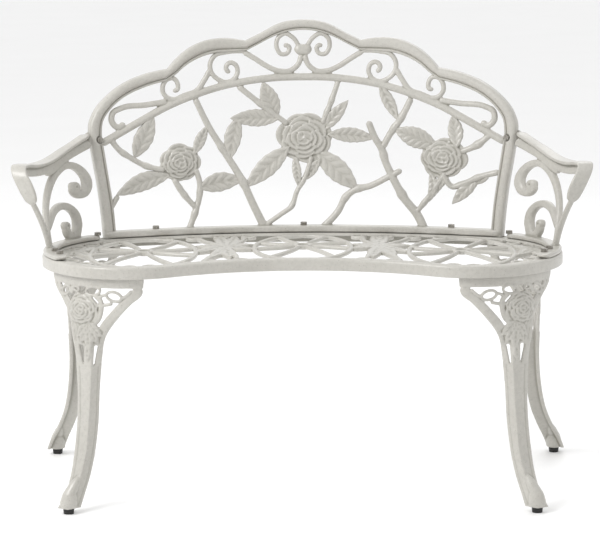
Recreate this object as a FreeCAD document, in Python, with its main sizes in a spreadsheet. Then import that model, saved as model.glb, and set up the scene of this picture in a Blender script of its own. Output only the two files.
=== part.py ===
"""Cast garden bench: a kidney-shaped pierced seat on four cabriole legs, a curved openwork
backrest, and two scrolled arms, bolted together, standing on four screw-in levelling feet.

Frame: +X to the right seen from the front, +Y to the back, +Z up, millimetres.
The origin is on the floor, below the middle of the whole bench.
"""
import FreeCAD
import Part
import Sketcher
import math
import os

from FreeCAD import Placement, Rotation, Vector

os.makedirs("parts", exist_ok=True)
doc = FreeCAD.newDocument("garden_bench")

# ---------------------------------------------------------------- driving dimensions
SIZES = [
    ("seat_top", 420, "height of the rim's top face"),
    ("rim_height", 20, "rim, top face to the skirt's lower edge"),
    ("rim_plate", 6, "thickness of the rim's top plate"),
    ("rim_width", 28, "width of the rim's top plate"),
    ("skirt_wall", 5, "wall of the rim's skirt"),
    ("lattice_thick", 7, "thickness of the seat's openwork"),
    ("lattice_drop", 3, "openwork top below the rim's top face"),
    ("lattice_reach", 6, "openwork runs this far into the rim"),
    ("loop_size", 28, "small round loops inside the rim"),
    ("loop_width", 6, "bar of those loops"),
    ("stem_width", 9, "stems of the seat's sprays"),
    ("medallion_rim", 9, "bar of a medallion's outer ring"),
    ("hub_size", 34, "medallion's hub ring"),
    ("hub_width", 7, "bar of the hub ring"),
    ("blade_start", 6, "width of a medallion's blade at the hub"),
    ("blade_end", 12, "width of that blade at the outer ring"),
    ("scroll_width", 10.5, "backrest's scrolls"),
    ("scroll_thin", 9.5, "backrest's smaller scrolls"),
    ("back_middle", 177, "seat outline at the back, on the centre plane"),
    ("front_middle", 161, "seat outline at the front, on the centre plane, towards the front"),
    ("side_radius", 200, "seat outline, arc round each end"),
    ("side_centre_x", 248, "centre of that arc"),
    ("side_centre_y", -63, "centre of that arc"),
    ("lobe_radius", 128, "seat outline, front lobe"),
    ("lobe_turn", -54.3, "direction from the end arc's centre to the lobe's centre"),
    ("back_radius", 900, "plan radius of the backrest"),
    ("back_y", 165, "backrest's middle surface at seat height, on the centre plane"),
    ("back_lean", 0.19, "backrest's lean, per unit of height"),
    ("frame_depth", 20, "backrest frame, front to back"),
    ("twig_depth", 12, "backrest twigs and arch, front to back"),
    ("leaf_depth", 8, "backrest leaves and scrolls, front to back"),
    ("rose_depth", 18, "backrest roses, front to back"),
    ("rail_height", 12, "backrest's bottom rail"),
    ("rail_width", 24, "backrest's bottom rail, front to back"),
    ("arm_wall", 10, "thickness of the arm's scrolls"),
    ("arm_rail_width", 30, "width of the armrest band"),
    ("arm_rail_thick", 6, "thickness of the armrest band"),
    ("arm_base_width", 24, "width of the arm's base strip"),
    ("arm_base_thick", 8, "thickness of the arm's base strip"),
    ("arm_base_inset", 14, "middle of that strip inside the seat outline"),
    ("arm_foot_radius", 187, "plan arc of the arm's surface at seat height"),
    ("arm_top_x", -97, "centre of the plan arc of the arm's surface at rail height"),
    ("arm_top_y", -276, "centre of that arc"),
    ("arm_top_radius", 612, "radius of that arc"),
    ("arm_lean_height", 165, "height over which the arm leans from one arc to the other"),
    ("arm_lug", 6, "thickness of the arm's rear lug"),
    ("post_bolt_x", 366, "arm's rear bolt"),
    ("post_bolt_z", 595, "arm's rear bolt"),
    ("post_seat", 6, "bolt seats, either side of the backrest's middle surface"),
    ("post_recess", 15, "recess round the bolt's head"),
    ("pad_inner", -10, "bolt seat, from the bolt towards the middle of the bench"),
    ("pad_outer", 18, "bolt seat, from the bolt outwards"),
    ("pad_half_height", 13, "half the height of the bolt seats and the arm's lug"),
    ("lug_inner", -9, "arm's rear lug, from the bolt towards the middle of the bench"),
    ("lug_outer", 27, "arm's rear lug, from the bolt outwards"),
    ("post_reach", 22.5, "room kept for the backrest, from the bolt outwards"),
    ("frame_foot_outer", 357, "backrest frame's foot, outer edge"),
    ("frame_foot_inner", 336, "backrest frame's foot, inner edge"),
    ("leg_wall", 5, "wall of the legs"),
    ("corner_wall", 1.35, "wall at a leg's ridge, in wall thicknesses"),
    ("flange_bow", 0.10, "least bow of a leg's flange, in chords"),
    ("apron_inset", 8, "apron's outer face inside the seat outline"),
    ("leg_bottom", 9.3, "underside of the leg's toe"),
    ("toe_boss_radius", 13, "boss that takes the levelling stud"),
    ("toe_boss_height", 28, "length of that boss"),
    ("ear_thick", 5, "leg's bolting ears"),
    ("ear_half", 9, "half the width of those ears"),
    ("ear_inner", 8, "ears, from the screw towards the middle of the seat"),
    ("relief_gap", 0.7, "air round the bosses, washers and nuts inside a leg"),
    ("seat_boss_height", 5, "seat's tapped bosses, below the rim plate"),
    ("seat_boss_radius", 6, "seat's tapped bosses"),
    ("screw_inset", 20, "leg screws and arm bolts inside the seat outline"),
    ("bolt_diameter", 6, "M6 fasteners"),
    ("bolt_hole", 6.6, "clearance hole for M6"),
    ("bolt_head_across", 10, "hexagon across flats"),
    ("bolt_head_height", 4, "hexagon head"),
    ("nut_height", 5, "M6 nut"),
    ("washer_diameter", 12, "M6 washer"),
    ("washer_thick", 1.6, "M6 washer"),
    ("thread_clearance", 0.05, "gap left between a thread's core and its nut"),
    ("bolt_tail", 2, "bolt end beyond its nut"),
    ("pad_radius", 9.5, "levelling foot's pad"),
    ("pad_foot_radius", 8.6, "levelling foot's pad, at the floor"),
    ("pad_height", 9, "levelling foot's pad"),
    ("stud_diameter", 8, "M8 levelling stud"),
    ("stud_top", 33, "top of the levelling stud"),
    ("stud_seat", 4, "bottom of the stud, moulded into the pad"),
    ("stud_clearance", 0.06, "running gap between stud and leg"),
]
sheet = doc.addObject("Spreadsheet::Sheet", "sizes")
for row, (alias, value, note) in enumerate(SIZES, start=1):
    sheet.set(f"A{row}", alias)
    sheet.set(f"B{row}", str(value))
    sheet.set(f"C{row}", note)
    sheet.setAlias(f"B{row}", alias)
doc.recompute()


def size(alias):
    return float(sheet.get(alias))


UP = Vector(0, 0, 1)
MIRROR = Vector(1, 0, 0)


def mirrored(shape):
    return shape.mirror(Vector(0, 0, 0), MIRROR)


def mirror_points(points):
    return [(-x, y) for x, y in points]


# ---------------------------------------------------------------- flat outlines
def spline_edge(points):
    curve = Part.BSplineCurve()
    curve.interpolate([Vector(x, y, 0) for x, y in points])
    return curve.toShape()


def band(points, width, end_width=None):
    """A flat strip of smoothly changing width along a smooth centre line."""
    end_width = width if end_width is None else end_width
    curve = Part.BSplineCurve()
    curve.interpolate([Vector(x, y, 0) for x, y in points])
    steps = 4 * (len(points) - 1)
    first, last = curve.FirstParameter, curve.LastParameter
    left, right = [], []
    for step in range(steps + 1):
        along = step / steps
        at = first + (last - first) * along
        centre = curve.value(at)
        tangent = curve.tangent(at)[0]
        half = (width + (end_width - width) * along) / 2
        left.append((centre.x - tangent.y * half, centre.y + tangent.x * half))
        right.append((centre.x + tangent.y * half, centre.y - tangent.x * half))
    right.reverse()
    corners = [Vector(x, y, 0) for x, y in (left[-1], right[0], right[-1], left[0])]
    edges = [spline_edge(left), Part.makeLine(corners[0], corners[1]),
             spline_edge(right), Part.makeLine(corners[2], corners[3])]
    return Part.Face(Part.Wire(edges))


def leaf(base, tip, width, bow=0.0):
    """A pointed leaf; bow shifts its middle sideways."""
    base, tip = Vector(*base, 0), Vector(*tip, 0)
    along = tip - base
    side = Vector(-along.y, along.x, 0).normalize()
    middle = base + along * 0.45
    one = Part.Arc(base, middle + side * (bow + width / 2), tip).toShape()
    other = Part.Arc(tip, middle + side * (bow - width / 2), base).toShape()
    return Part.Face(Part.Wire([one, other]))


def wavy_disc(centre, wide, high, petals=7, depth=0.06):
    """A rose's outline: an oval whose edge swells at each petal."""
    points = []
    for step in range(petals * 2):
        turn = math.pi * step / petals
        swell = 1 + depth * (1 if step % 2 else -1)
        points.append(Vector(centre[0] + wide / 2 * swell * math.cos(turn),
                             centre[1] + high / 2 * swell * math.sin(turn), 0))
    curve = Part.BSplineCurve()
    curve.interpolate(points, PeriodicFlag=True)
    return Part.Face(Part.Wire(curve.toShape()))


def ring(centre, wide, high, width):
    """A flat oval ring."""
    def oval(across, up):
        if abs(across - up) < 0.01:
            edge = Part.makeCircle(across / 2, Vector(*centre, 0), UP)
        else:
            major, minor = max(across, up) / 2, min(across, up) / 2
            axis = Vector(1, 0, 0) if across > up else Vector(0, 1, 0)
            start = Vector(*centre, 0)
            other = UP.cross(axis)
            curve = Part.Ellipse(start + axis * major, start + other * minor, start)
            edge = curve.toShape()
        return Part.Face(Part.Wire(edge))
    return oval(wide, high).cut(oval(wide - 2 * width, high - 2 * width))


def upward(shape):
    """A flat outline with its face turned upwards."""
    return shape if shape.Faces[0].normalAt(0, 0).z > 0 else shape.reversed()


def joined(faces):
    """All the outlines of one layer as one flat shape."""
    faces = [upward(face) for face in faces]
    return faces[0].multiFuse(faces[1:]).removeSplitter()


def rod(at, axis, diameter, start, end):
    """A round bar along axis, from start to end measured from a point."""
    axis = Vector(axis).normalize()
    return Part.makeCylinder(diameter / 2, end - start, Vector(at) + axis * start, axis)


# ---------------------------------------------------------------- seat outline in plan
def polar(centre, radius, degrees):
    turn = math.radians(degrees)
    return Vector(centre.x + radius * math.cos(turn), centre.y + radius * math.sin(turn), 0)


side_centre = Vector(size("side_centre_x"), size("side_centre_y"), 0)
lobe_centre = polar(side_centre, size("side_radius") - size("lobe_radius"), size("lobe_turn"))


def tangent_radius(centre, radius, middle, inside):
    """Radius of an arc centred on X = 0 through (0, middle) that touches a given circle:
    with the circle inside it, or outside it."""
    if inside:
        gap = centre.y - middle
        return (centre.x ** 2 + gap ** 2 - radius ** 2) / (-2 * (gap + radius))
    gap = centre.y - middle
    return (centre.x ** 2 + gap ** 2 - radius ** 2) / (2 * (radius - gap))


rim_back_radius = tangent_radius(side_centre, size("side_radius"), size("back_middle"), True)
rim_back_centre = Vector(0, size("back_middle") - rim_back_radius, 0)
rim_front_radius = tangent_radius(lobe_centre, size("lobe_radius"), -size("front_middle"), False)
rim_front_centre = Vector(0, -size("front_middle") - rim_front_radius, 0)
back_turn = math.degrees(math.atan2(side_centre.y - rim_back_centre.y, side_centre.x))
front_turn = math.degrees(math.atan2(rim_front_centre.y - lobe_centre.y, -lobe_centre.x))


def on_side(degrees, inset):
    return polar(side_centre, size("side_radius") - inset, degrees)


def on_lobe(degrees, inset):
    return polar(lobe_centre, size("lobe_radius") - inset, degrees)


def arc_edge(centre, radius, start, end):
    return Part.Arc(polar(centre, radius, start), polar(centre, radius, (start + end) / 2),
                    polar(centre, radius, end)).toShape()


def kidney(inset):
    """The seat outline, moved inwards by inset, as a flat face at Z = 0."""
    back = arc_edge(rim_back_centre, rim_back_radius - inset, 180 - back_turn, back_turn)
    side = arc_edge(side_centre, size("side_radius") - inset, back_turn, size("lobe_turn"))
    lobe = arc_edge(lobe_centre, size("lobe_radius") - inset, size("lobe_turn"), front_turn)
    front = arc_edge(rim_front_centre, rim_front_radius + inset, front_turn + 180,
                     -front_turn)
    edges = [back, side, lobe, front, mirrored(lobe), mirrored(side)]
    return Part.Face(Part.Wire(Part.__sortEdges__(edges)))


def slab(face, low, high):
    """A flat face extruded between two heights."""
    lifted = face.copy()
    lifted.translate(Vector(0, 0, low))
    return lifted.extrude(Vector(0, 0, high - low))


# ---------------------------------------------------------------- seat
def medallion(centre, hub, wide, high):
    """An oval ring with eight tapered blades that run out from a small hub ring."""
    rim, across = size("medallion_rim"), size("hub_size")
    faces = [ring(centre, wide, high, rim), ring(hub, across, across, size("hub_width"))]
    for blade in range(8):
        turn = math.radians(22.5 + 45 * blade)
        out = Vector(math.cos(turn), math.sin(turn), 0)
        reach = 0.0
        while (((hub[0] + out.x * reach - centre[0]) / (wide / 2 - 4)) ** 2
               + ((hub[1] + out.y * reach - centre[1]) / (high / 2 - 4)) ** 2) < 1:
            reach += 1.0
        start = (hub[0] + out.x * 14, hub[1] + out.y * 14)
        middle = (hub[0] + out.x * reach / 2 - out.y * 4, hub[1] + out.y * reach / 2 + out.x * 4)
        end = (hub[0] + out.x * reach, hub[1] + out.y * reach)
        faces.append(band([start, middle, end], size("blade_start"), size("blade_end")))
    return faces


def lace_loops():
    """Small round loops along the inner edge of the rim, on one half of the seat."""
    inset = size("rim_width") + 10
    wide = size("loop_size")
    places = [on_side(turn, inset) for turn in range(-44, 68, 14)]
    places += [on_lobe(turn, inset) for turn in (-70, -92, -114)]
    places += [polar(rim_back_centre, rim_back_radius - inset, turn) for turn in (75, 78, 81, 84)]
    places += [polar(rim_front_centre, rim_front_radius + inset, turn) for turn in (62, 69, 76)]
    return [ring((place.x, place.y), wide, wide, size("loop_width")) for place in places]


def leaf_cluster(centre, reaches, width):
    """A rose with leaves that reach out to the points around it."""
    return ([wavy_disc(centre, 50, 46)]
            + [leaf(centre, reach, width) for reach in reaches])


def seat_lattice():
    half = lace_loops()
    half += medallion((275, -55), (275, -38), 190, 336)
    half += leaf_cluster((134, 16), [(88, 40), (86, -14), (190, 20), (184, -50), (150, 140),
                                     (124, 140), (158, -110), (122, -108)], 26)
    half += leaf_cluster((394, -40), [(368, -96), (366, 14), (424, 0), (424, -80)], 20)
    stems = [[(134, 16), (112, 70), (106, 142)], [(134, 16), (172, 74), (196, 134)],
             [(134, 16), (118, -60), (110, -120)], [(134, 16), (150, -60), (168, -150)]]
    half += [band(points, size("stem_width")) for points in stems]
    faces = medallion((0, 8), (0, 28), 178, 292)
    for face in half:
        faces += [face, mirrored(face)]
    top = size("seat_top") - size("lattice_drop")
    low = top - size("lattice_thick")
    room = slab(kidney(size("rim_width") - size("lattice_reach")), low, top)
    return [slab(face, low, top).common(room) for face in faces]


def leg_screw_places(rear):
    """Plan positions of one right-hand leg's three screws."""
    inset = size("screw_inset")
    if rear:
        return [on_side(28, inset), on_side(40, inset), on_side(58, inset)]
    return [on_side(-43, inset), on_lobe(-70, inset), on_lobe(-95, inset)]


def arm_bolt_places():
    return [on_side(turn, size("screw_inset")) for turn in (-15, -26, 49)]


def on_back(x, z, proud=0.0):
    """Point of the backrest's middle surface, or proud of it towards the back."""
    reach = math.sqrt(size("back_radius") ** 2 - x ** 2)
    y = (size("back_y") + size("back_lean") * (z - size("seat_top"))
         - size("back_radius") + reach)
    return Vector(x * (1 + proud / size("back_radius")), y + proud * reach / size("back_radius"), z)


rail_bolt_x = 266
rail_bolt_places = [on_back(x, size("seat_top")) for x in (-rail_bolt_x, 0, rail_bolt_x)]


def both_sides(places):
    return places + [Vector(-place.x, place.y, place.z) for place in places]


def build_seat():
    top = size("seat_top")
    plate = top - size("rim_plate")
    rim = slab(kidney(0).cut(kidney(size("rim_width"))), plate, top)
    skirt = slab(kidney(0).cut(kidney(size("skirt_wall"))), top - size("rim_height"), plate)
    screws = both_sides(leg_screw_places(False) + leg_screw_places(True))
    boss_low = plate - size("seat_boss_height")
    bosses = [rod(place + UP * boss_low, UP, 2 * size("seat_boss_radius"), 0,
                  size("seat_boss_height")) for place in screws]
    seat = rim.multiFuse([skirt] + seat_lattice() + bosses)
    thread = size("bolt_diameter") + 2 * size("thread_clearance")
    holes = [rod(place + UP * boss_low, UP, thread, -5, size("seat_boss_height") + 4)
             for place in screws]
    holes += [rod(Vector(place.x, place.y, plate), UP, size("bolt_hole"), -10, 20)
              for place in both_sides(arm_bolt_places()) + rail_bolt_places]
    washers = [rod(Vector(place.x, place.y, plate), UP, size("washer_diameter") + 2, -20, 0)
               for place in both_sides(arm_bolt_places()) + rail_bolt_places]
    return seat.cut(holes + washers)


# ---------------------------------------------------------------- backrest
FRAME_OUTSIDE = [
    [(-357, 420), (-361, 463), (-368, 516), (-376, 561), (-381, 595), (-382, 620), (-374, 643),
     (-351, 671), (-322, 692), (-285, 707), (-245, 715)],
    [(-245, 715), (-234, 728), (-213, 747), (-181, 763), (-142, 768), (-105, 763)],
    [(-105, 763), (-78, 776), (-42, 794), (0, 800), (42, 794), (78, 776), (105, 763)],
]
FRAME_INSIDE = [
    [(-336, 420), (-341, 474), (-348, 520), (-356, 570), (-361, 603), (-359, 626), (-346, 647),
     (-324, 666), (-290, 682), (-250, 693)],
    [(-250, 693), (-233, 703), (-214, 719), (-189, 733), (-162, 741), (-133, 743), (-103, 745)],
    [(-103, 745), (-81, 756), (-53, 770), (-23, 779), (0, 781), (23, 779), (53, 770), (81, 756),
     (103, 745)],
]
ARCH = [(-362, 586), (-325, 606), (-292, 624), (-250, 646), (-203, 665), (-151, 681), (-98, 691),
        (-48, 696), (0, 697), (48, 696), (98, 691), (151, 681), (203, 665), (250, 646), (292, 624),
        (325, 606), (362, 586)]
SCROLLS = [
    ([(-4, 752), (-18, 768), (-38, 778), (-52, 772)], "scroll_width"),
    ([(-38, 776), (-47, 762), (-46, 746), (-33, 735), (-20, 740), (-19, 753), (-30, 757)], "scroll_thin"),
    ([(-4, 740), (-13, 716), (-35, 702), (-64, 706), (-89, 724), (-108, 746)], "scroll_width"),
    ([(-108, 745), (-147, 743), (-170, 731), (-174, 708), (-158, 690), (-134, 690), (-115, 704),
      (-117, 719), (-130, 726), (-141, 716), (-133, 706)], "scroll_width"),
    ([(-174, 710), (-188, 688), (-206, 672), (-230, 664), (-250, 650)], "scroll_width"),
    ([(-206, 673), (-221, 665), (-237, 669), (-248, 684), (-242, 700)], "scroll_thin"),
    ([(-254, 652), (-294, 652), (-326, 651), (-341, 641), (-343, 624), (-332, 613),
      (-321, 622)], "scroll_width"),
]
TWIGS = [
    ([(-346, 596), (-331, 575), (-310, 559), (-286, 545), (-250, 535)], 10, 10),
    ([(-196, 661), (-172, 611), (-140, 559), (-110, 510), (-93, 472), (-70, 426)], 11, 15),
    ([(-332, 494), (-346, 470)], 9, 9),
    ([(-235, 520), (-215, 489), (-195, 466)], 10, 10),
    ([(-196, 536), (-188, 510), (-189, 484), (-196, 459), (-208, 426)], 10, 11),
    ([(-119, 682), (-75, 647), (-28, 612)], 11, 10),
    ([(15, 556), (2, 516), (-12, 492), (-23, 464), (-40, 452), (-73, 430)], 9, 9),
    ([(33, 426), (63, 457), (77, 482), (92, 494), (121, 502), (155, 519), (178, 531)], 13, 11),
    ([(64, 690), (51, 653), (34, 612)], 10, 10),
    ([(118, 618), (130, 588), (143, 566), (149, 545), (160, 521), (183, 480), (207, 450),
      (218, 426)], 12, 16),
    ([(196, 660), (177, 623), (155, 591), (144, 570)], 12, 12),
    ([(283, 566), (309, 577), (340, 603)], 11, 11),
    ([(254, 525), (229, 488), (203, 455)], 10, 9),
    ([(252, 530), (268, 504), (291, 511), (315, 522), (352, 533)], 10, 11),
]
LEAVES = [
    ((-303, 559), (-270, 632), 32, 0), ((-198, 562), (-174, 612), 19, 0),
    ((-240, 526), (-336, 494), 31, -6), ((-190, 502), (-110, 514), 33, 3),
    ((-48, 622), (-74, 689), 33, 0), ((-42, 624), (-133, 624), 30, 0),
    ((-118, 626), (-133, 551), 30, -3), ((-26, 572), (-106, 500), 34, 0),
    ((-16, 556), (-8, 498), 16, 0), ((30, 550), (2, 511), 17, 0),
    ((24, 564), (99, 496), 38, 0), ((45, 594), (130, 587), 26, 2),
    ((34, 600), (82, 655), 23, 0), ((139, 684), (172, 619), 21, 0),
    ((240, 576), (165, 604), 35, 0), ((278, 574), (270, 632), 26, 0),
    ((229, 528), (226, 478), 17, 8), ((262, 520), (226, 475), 20, -8),
    ((315, 524), (268, 473), 22, 0), ((335, 528), (300, 510), 16, 0),
]
ROSES = [((-223, 547), 74, 66), ((2, 588), 100, 88), ((253, 554), 82, 71)]


def frame_outline():
    """The lobed outer frame, between its outer and inner edges, open at the bottom."""
    def run(pieces):
        right = [mirror_points(list(reversed(points))) for points in reversed(pieces[:2])]
        return [spline_edge(points) for points in pieces + right]
    foot = size("seat_top")
    feet = [Part.makeLine(Vector(side * size("frame_foot_outer"), foot, 0),
                          Vector(side * size("frame_foot_inner"), foot, 0)) for side in (-1, 1)]
    edges = run(FRAME_OUTSIDE) + run(FRAME_INSIDE) + feet
    return Part.Face(Part.Wire(Part.__sortEdges__(edges)))


def leaning_shell(depth):
    """The curved, leaning slab that every piece of the backrest is cut from."""
    centre = Vector(0, size("back_y") - size("back_radius"), 0)
    inner, outer = size("back_radius") - depth / 2, size("back_radius") + depth / 2
    edges = [arc_edge(centre, outer, 64, 116), arc_edge(centre, inner, 64, 116)]
    edges += [Part.makeLine(polar(centre, inner, turn), polar(centre, outer, turn))
              for turn in (64, 116)]
    face = Part.Face(Part.Wire(Part.__sortEdges__(edges)))
    height = 400
    face.translate(UP * size("seat_top"))
    return face.extrude(Vector(0, size("back_lean") * height, height))


def stand_up(face):
    """Turn a flat outline from plan into the front view and give it depth to cut from."""
    face = face.copy()
    face.rotate(Vector(0, 0, 0), Vector(1, 0, 0), 90)
    face.translate(Vector(0, 400, 0))
    return face.extrude(Vector(0, -700, 0))


def post_axis(side):
    """Where an arm's rear bolt crosses the backrest, and the way it points."""
    at = on_back(side * size("post_bolt_x"), size("post_bolt_z"))
    turn = math.asin(side * size("post_bolt_x") / size("back_radius"))
    return at, Vector(math.sin(turn), math.cos(turn), 0)


def post_block(side, tangent_from, tangent_to, from_back, to_back, half_height):
    """A block squared to an arm's rear bolt."""
    at, normal = post_axis(side)
    tangent = normal.cross(UP) * side
    corner = at + tangent * tangent_from + normal * from_back - UP * half_height
    wide, deep = tangent * (tangent_to - tangent_from), normal * (to_back - from_back)
    corners = [corner, corner + wide, corner + wide + deep, corner + deep, corner]
    return Part.Face(Part.makePolygon(corners)).extrude(UP * 2 * half_height)


def build_backrest():
    layers = [
        ("frame_depth", [frame_outline()]),
        ("twig_depth", [band(ARCH, 13)] + [band(*twig) for twig in TWIGS]),
        ("leaf_depth", [leaf(*outline) for outline in LEAVES]
         + [band(points, size(width)) for points, width in SCROLLS]
         + [band(mirror_points(points), size(width)) for points, width in SCROLLS]
         + [wavy_disc((0, 746), 28, 20, 4)]),
        ("rose_depth", [wavy_disc(*rose) for rose in ROSES]),
    ]
    post_room, bosses = [], []
    ends = size("pad_inner"), size("pad_outer")
    half_height = size("pad_half_height")
    for side in (-1, 1):
        at, normal = post_axis(side)
        post_room.append(post_block(side, *ends, -14, 34, half_height))
        boss = post_block(side, *ends, -size("frame_depth") / 2, size("post_seat"),
                          half_height)
        bosses.append(boss.cut([rod(at, normal, size("bolt_hole"), -40, 40),
                                rod(at, normal, size("post_recess"), -40, -size("post_seat"))]))
    rail_top = size("seat_top") + size("rail_height")
    rail_cuts = [rod(place, UP, size("bolt_hole"), -10, 30) for place in rail_bolt_places]
    rail_cuts += [rod(Vector(place.x, place.y, rail_top), UP, size("washer_diameter") + 3, 0, 14)
                  for place in rail_bolt_places]
    rail_arc = 23.4
    centre = Vector(0, size("back_y") - size("back_radius"), 0)
    half = size("rail_width") / 2
    turns = (90 - rail_arc, 90 + rail_arc)
    edges = [arc_edge(centre, size("back_radius") + reach, *turns) for reach in (-half, half)]
    edges += [Part.makeLine(polar(centre, size("back_radius") - half, turn),
                            polar(centre, size("back_radius") + half, turn)) for turn in turns]
    rail = slab(Part.Face(Part.Wire(Part.__sortEdges__(edges))), size("seat_top"), rail_top)
    back = rail.cut(rail_cuts)
    for depth, faces in layers:
        shell = leaning_shell(size(depth))
        solids = []
        for face in faces:
            piece = stand_up(face).common(shell)
            if depth in ("frame_depth", "twig_depth"):
                near = [cut for cut in post_room + rail_cuts
                        if cut.BoundBox.intersect(piece.BoundBox)]
                piece = piece.cut(near) if near else piece
            solids += piece.Solids
        back = back.multiFuse(solids)
    return back.multiFuse(bosses)


# ---------------------------------------------------------------- arms, right-hand side
arm_top_centre = Vector(size("arm_top_x"), size("arm_top_y"), 0)


def on_arm(along, height, out=0.0):
    """Point of the arm's leaning surface: along it from the post (0) to the front (1)."""
    low = polar(side_centre, size("arm_foot_radius") + out, 47 - 67 * along)
    high = polar(arm_top_centre, size("arm_top_radius") + out, 40.3 - 22.8 * along)
    rise = (height - size("seat_top")) / size("arm_lean_height")
    point = low + (high - low) * rise
    return Vector(point.x, point.y, height)


def arm_shell(wall):
    """The leaning slab that the arm's scrolls are cut from."""
    def ring_wire(height):
        corners = {}
        for out in (-wall / 2, wall / 2):
            corners[out] = [on_arm(along, height, out) for along in (-0.12, 0.54, 1.2)]
        near, far = corners[-wall / 2], corners[wall / 2]
        return Part.Wire([Part.Arc(*near).toShape(), Part.makeLine(near[2], far[2]),
                          Part.Arc(far[2], far[1], far[0]).toShape(),
                          Part.makeLine(far[0], near[0])])
    return Part.makeLoft([ring_wire(size("seat_top")), ring_wire(size("seat_top") + 200)],
                         True, True)


ARM_SCROLLS = [
    ([(-62, 421), (-57, 452), (-48, 476), (-36, 495), (-20, 514), (-1, 532), (20, 548), (36, 558)],
     12, 15),
    ([(30, 562), (48, 560), (67, 553), (80, 541), (86, 527), (83, 512), (74, 503), (63, 502),
      (55, 510), (58, 520)], 14, 12),
    ([(-52, 457), (-31, 468), (-9, 482), (18, 488), (37, 483), (50, 470), (52, 453), (46, 436),
      (40, 421)], 12, 14),
    ([(44, 431), (33, 430), (22, 439), (22, 452)], 12, 12),
    ([(-66, 421), (-70, 440), (-79, 461), (-92, 482), (-105, 503), (-116, 523)], 13, 9),
    ([(42, 434), (40, 421)], 16, 28),
    ([(106, 590), (53, 573), (3, 558), (-40, 556), (-90, 562)], 16, 16),
]
ARM_BULBS = [(59, 517, 18), (23, 452, 16)]


def rail_section(centre, heading, across, wide, thick):
    """One cross-section of the armrest band."""
    up = across.cross(heading).normalize()
    corners = [centre + across * (side * wide / 2) + up * (face * thick / 2)
               for side, face in ((-1, -1), (1, -1), (1, 1), (-1, 1), (-1, -1))]
    return Part.makePolygon(corners)


def arm_rail():
    """The armrest band, from beside the post, over the front, rolled down to its tip."""
    wide, thick = size("arm_rail_width"), size("arm_rail_thick")
    stations = [(Vector(390, 117, 601), 12), (on_arm(0.13, 602), 26), (on_arm(0.34, 584), wide),
                (on_arm(0.57, 569), wide), (on_arm(0.78, 567), wide), (on_arm(0.94, 571), wide)]
    roll = [(Vector(484, -104, 570), 30), (Vector(479, -116, 560), 31),
            (Vector(469, -122, 545), 31), (Vector(461, -122, 527), 27),
            (Vector(457, -117, 509), 15)]
    roll_across = Vector(-0.95, -0.31, 0)
    sections = []
    for index, (centre, width) in enumerate(stations + roll):
        before = (stations + roll)[max(index - 1, 0)][0]
        after = (stations + roll)[min(index + 1, len(stations + roll) - 1)][0]
        heading = (after - before).normalize()
        across = heading.cross(UP).normalize() if index < len(stations) else roll_across
        sections.append(rail_section(centre, heading, across, width, thick))
    return Part.makeLoft(sections, True, True)


def build_arm():
    flat = joined([band(*scroll) for scroll in ARM_SCROLLS]
                  + [wavy_disc((y, z), wide, wide, 4, 0.0) for y, z, wide in ARM_BULBS])
    flat.Placement = Placement(Vector(0, 0, 0), Rotation(Vector(1, 1, 1), 120))
    flat.translate(Vector(300, 0, 0))
    scrolls = flat.extrude(Vector(300, 0, 0)).common(arm_shell(size("arm_wall")))
    half = size("arm_base_width") / 2
    middle = size("side_radius") - size("arm_base_inset")
    edges = [arc_edge(side_centre, middle + reach, -34, 51) for reach in (-half, half)]
    edges += [Part.makeLine(polar(side_centre, middle - half, turn),
                            polar(side_centre, middle + half, turn)) for turn in (-34, 51)]
    strip_top = size("seat_top") + size("arm_base_thick")
    strip = slab(Part.Face(Part.Wire(Part.__sortEdges__(edges))), size("seat_top"), strip_top)
    seat = size("post_seat")
    lug = post_block(1, size("lug_inner"), size("lug_outer"), seat, seat + size("arm_lug"),
                     size("pad_half_height"))
    beside_post = post_block(1, -40, size("post_reach"), -40, seat, 60)
    arm = strip.multiFuse([scrolls.cut(beside_post), arm_rail().cut(beside_post), lug])
    at, normal = post_axis(1)
    cuts = [rod(at, normal, size("bolt_hole"), -40, 40)]
    for place in arm_bolt_places():
        cuts.append(rod(place + UP * size("seat_top"), UP, size("bolt_hole"), -10, 30))
        cuts.append(rod(place + UP * strip_top, UP, size("washer_diameter") + 2, 0, 12))
    return arm.cut(cuts)


# ---------------------------------------------------------------- legs, right-hand side
# Each row: height, then the ridge and the two edges of the angled section, front to back.
FRONT_LEG = [
    (414, (353, -224), (421, -146), (261, -238)), (388, (353, -224), (421, -146), (262, -238)),
    (374, (353, -223), (415, -156), (270, -239)), (357, (353, -222), (403, -176), (290, -240)),
    (335, (353, -221), (392, -190), (309, -238)), (300, (353, -220), (386, -196), (327, -222)),
    (260, (353, -217), (381, -196), (335, -204)), (200, (356, -212), (379, -193), (342, -193)),
    (150, (360, -211), (381, -192), (345, -191)), (100, (365, -215), (386, -198), (351, -196)),
    (60, (374, -226), (392, -209), (359, -206)), (30, (384, -239), (401, -223), (368, -219)),
    (9.3, (394, -251), (413, -237), (374, -232)),
]
REAR_LEG = [
    (414, (393, 63), (428, 3), (332, 110)), (388, (393, 63), (428, 3), (333, 110)),
    (374, (395, 65), (426, 9), (339, 107)), (357, (397, 68), (423, 22), (353, 99)),
    (335, (402, 74), (420, 36), (368, 92)), (300, (411, 84), (421, 54), (385, 93)),
    (260, (417, 94), (421, 67), (393, 99)), (200, (421, 108), (421, 83), (397, 111)),
    (150, (426, 124), (426, 99), (402, 126)), (100, (437, 148), (437, 123), (412, 150)),
    (60, (452, 173), (454, 148), (427, 174)), (30, (466, 197), (470, 171), (441, 198)),
    (9.3, (475, 214), (478, 188), (449, 215)),
]
FRONT_FOOT = Vector(394, -235, 0)
REAR_FOOT = Vector(461, 200, 0)
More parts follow.
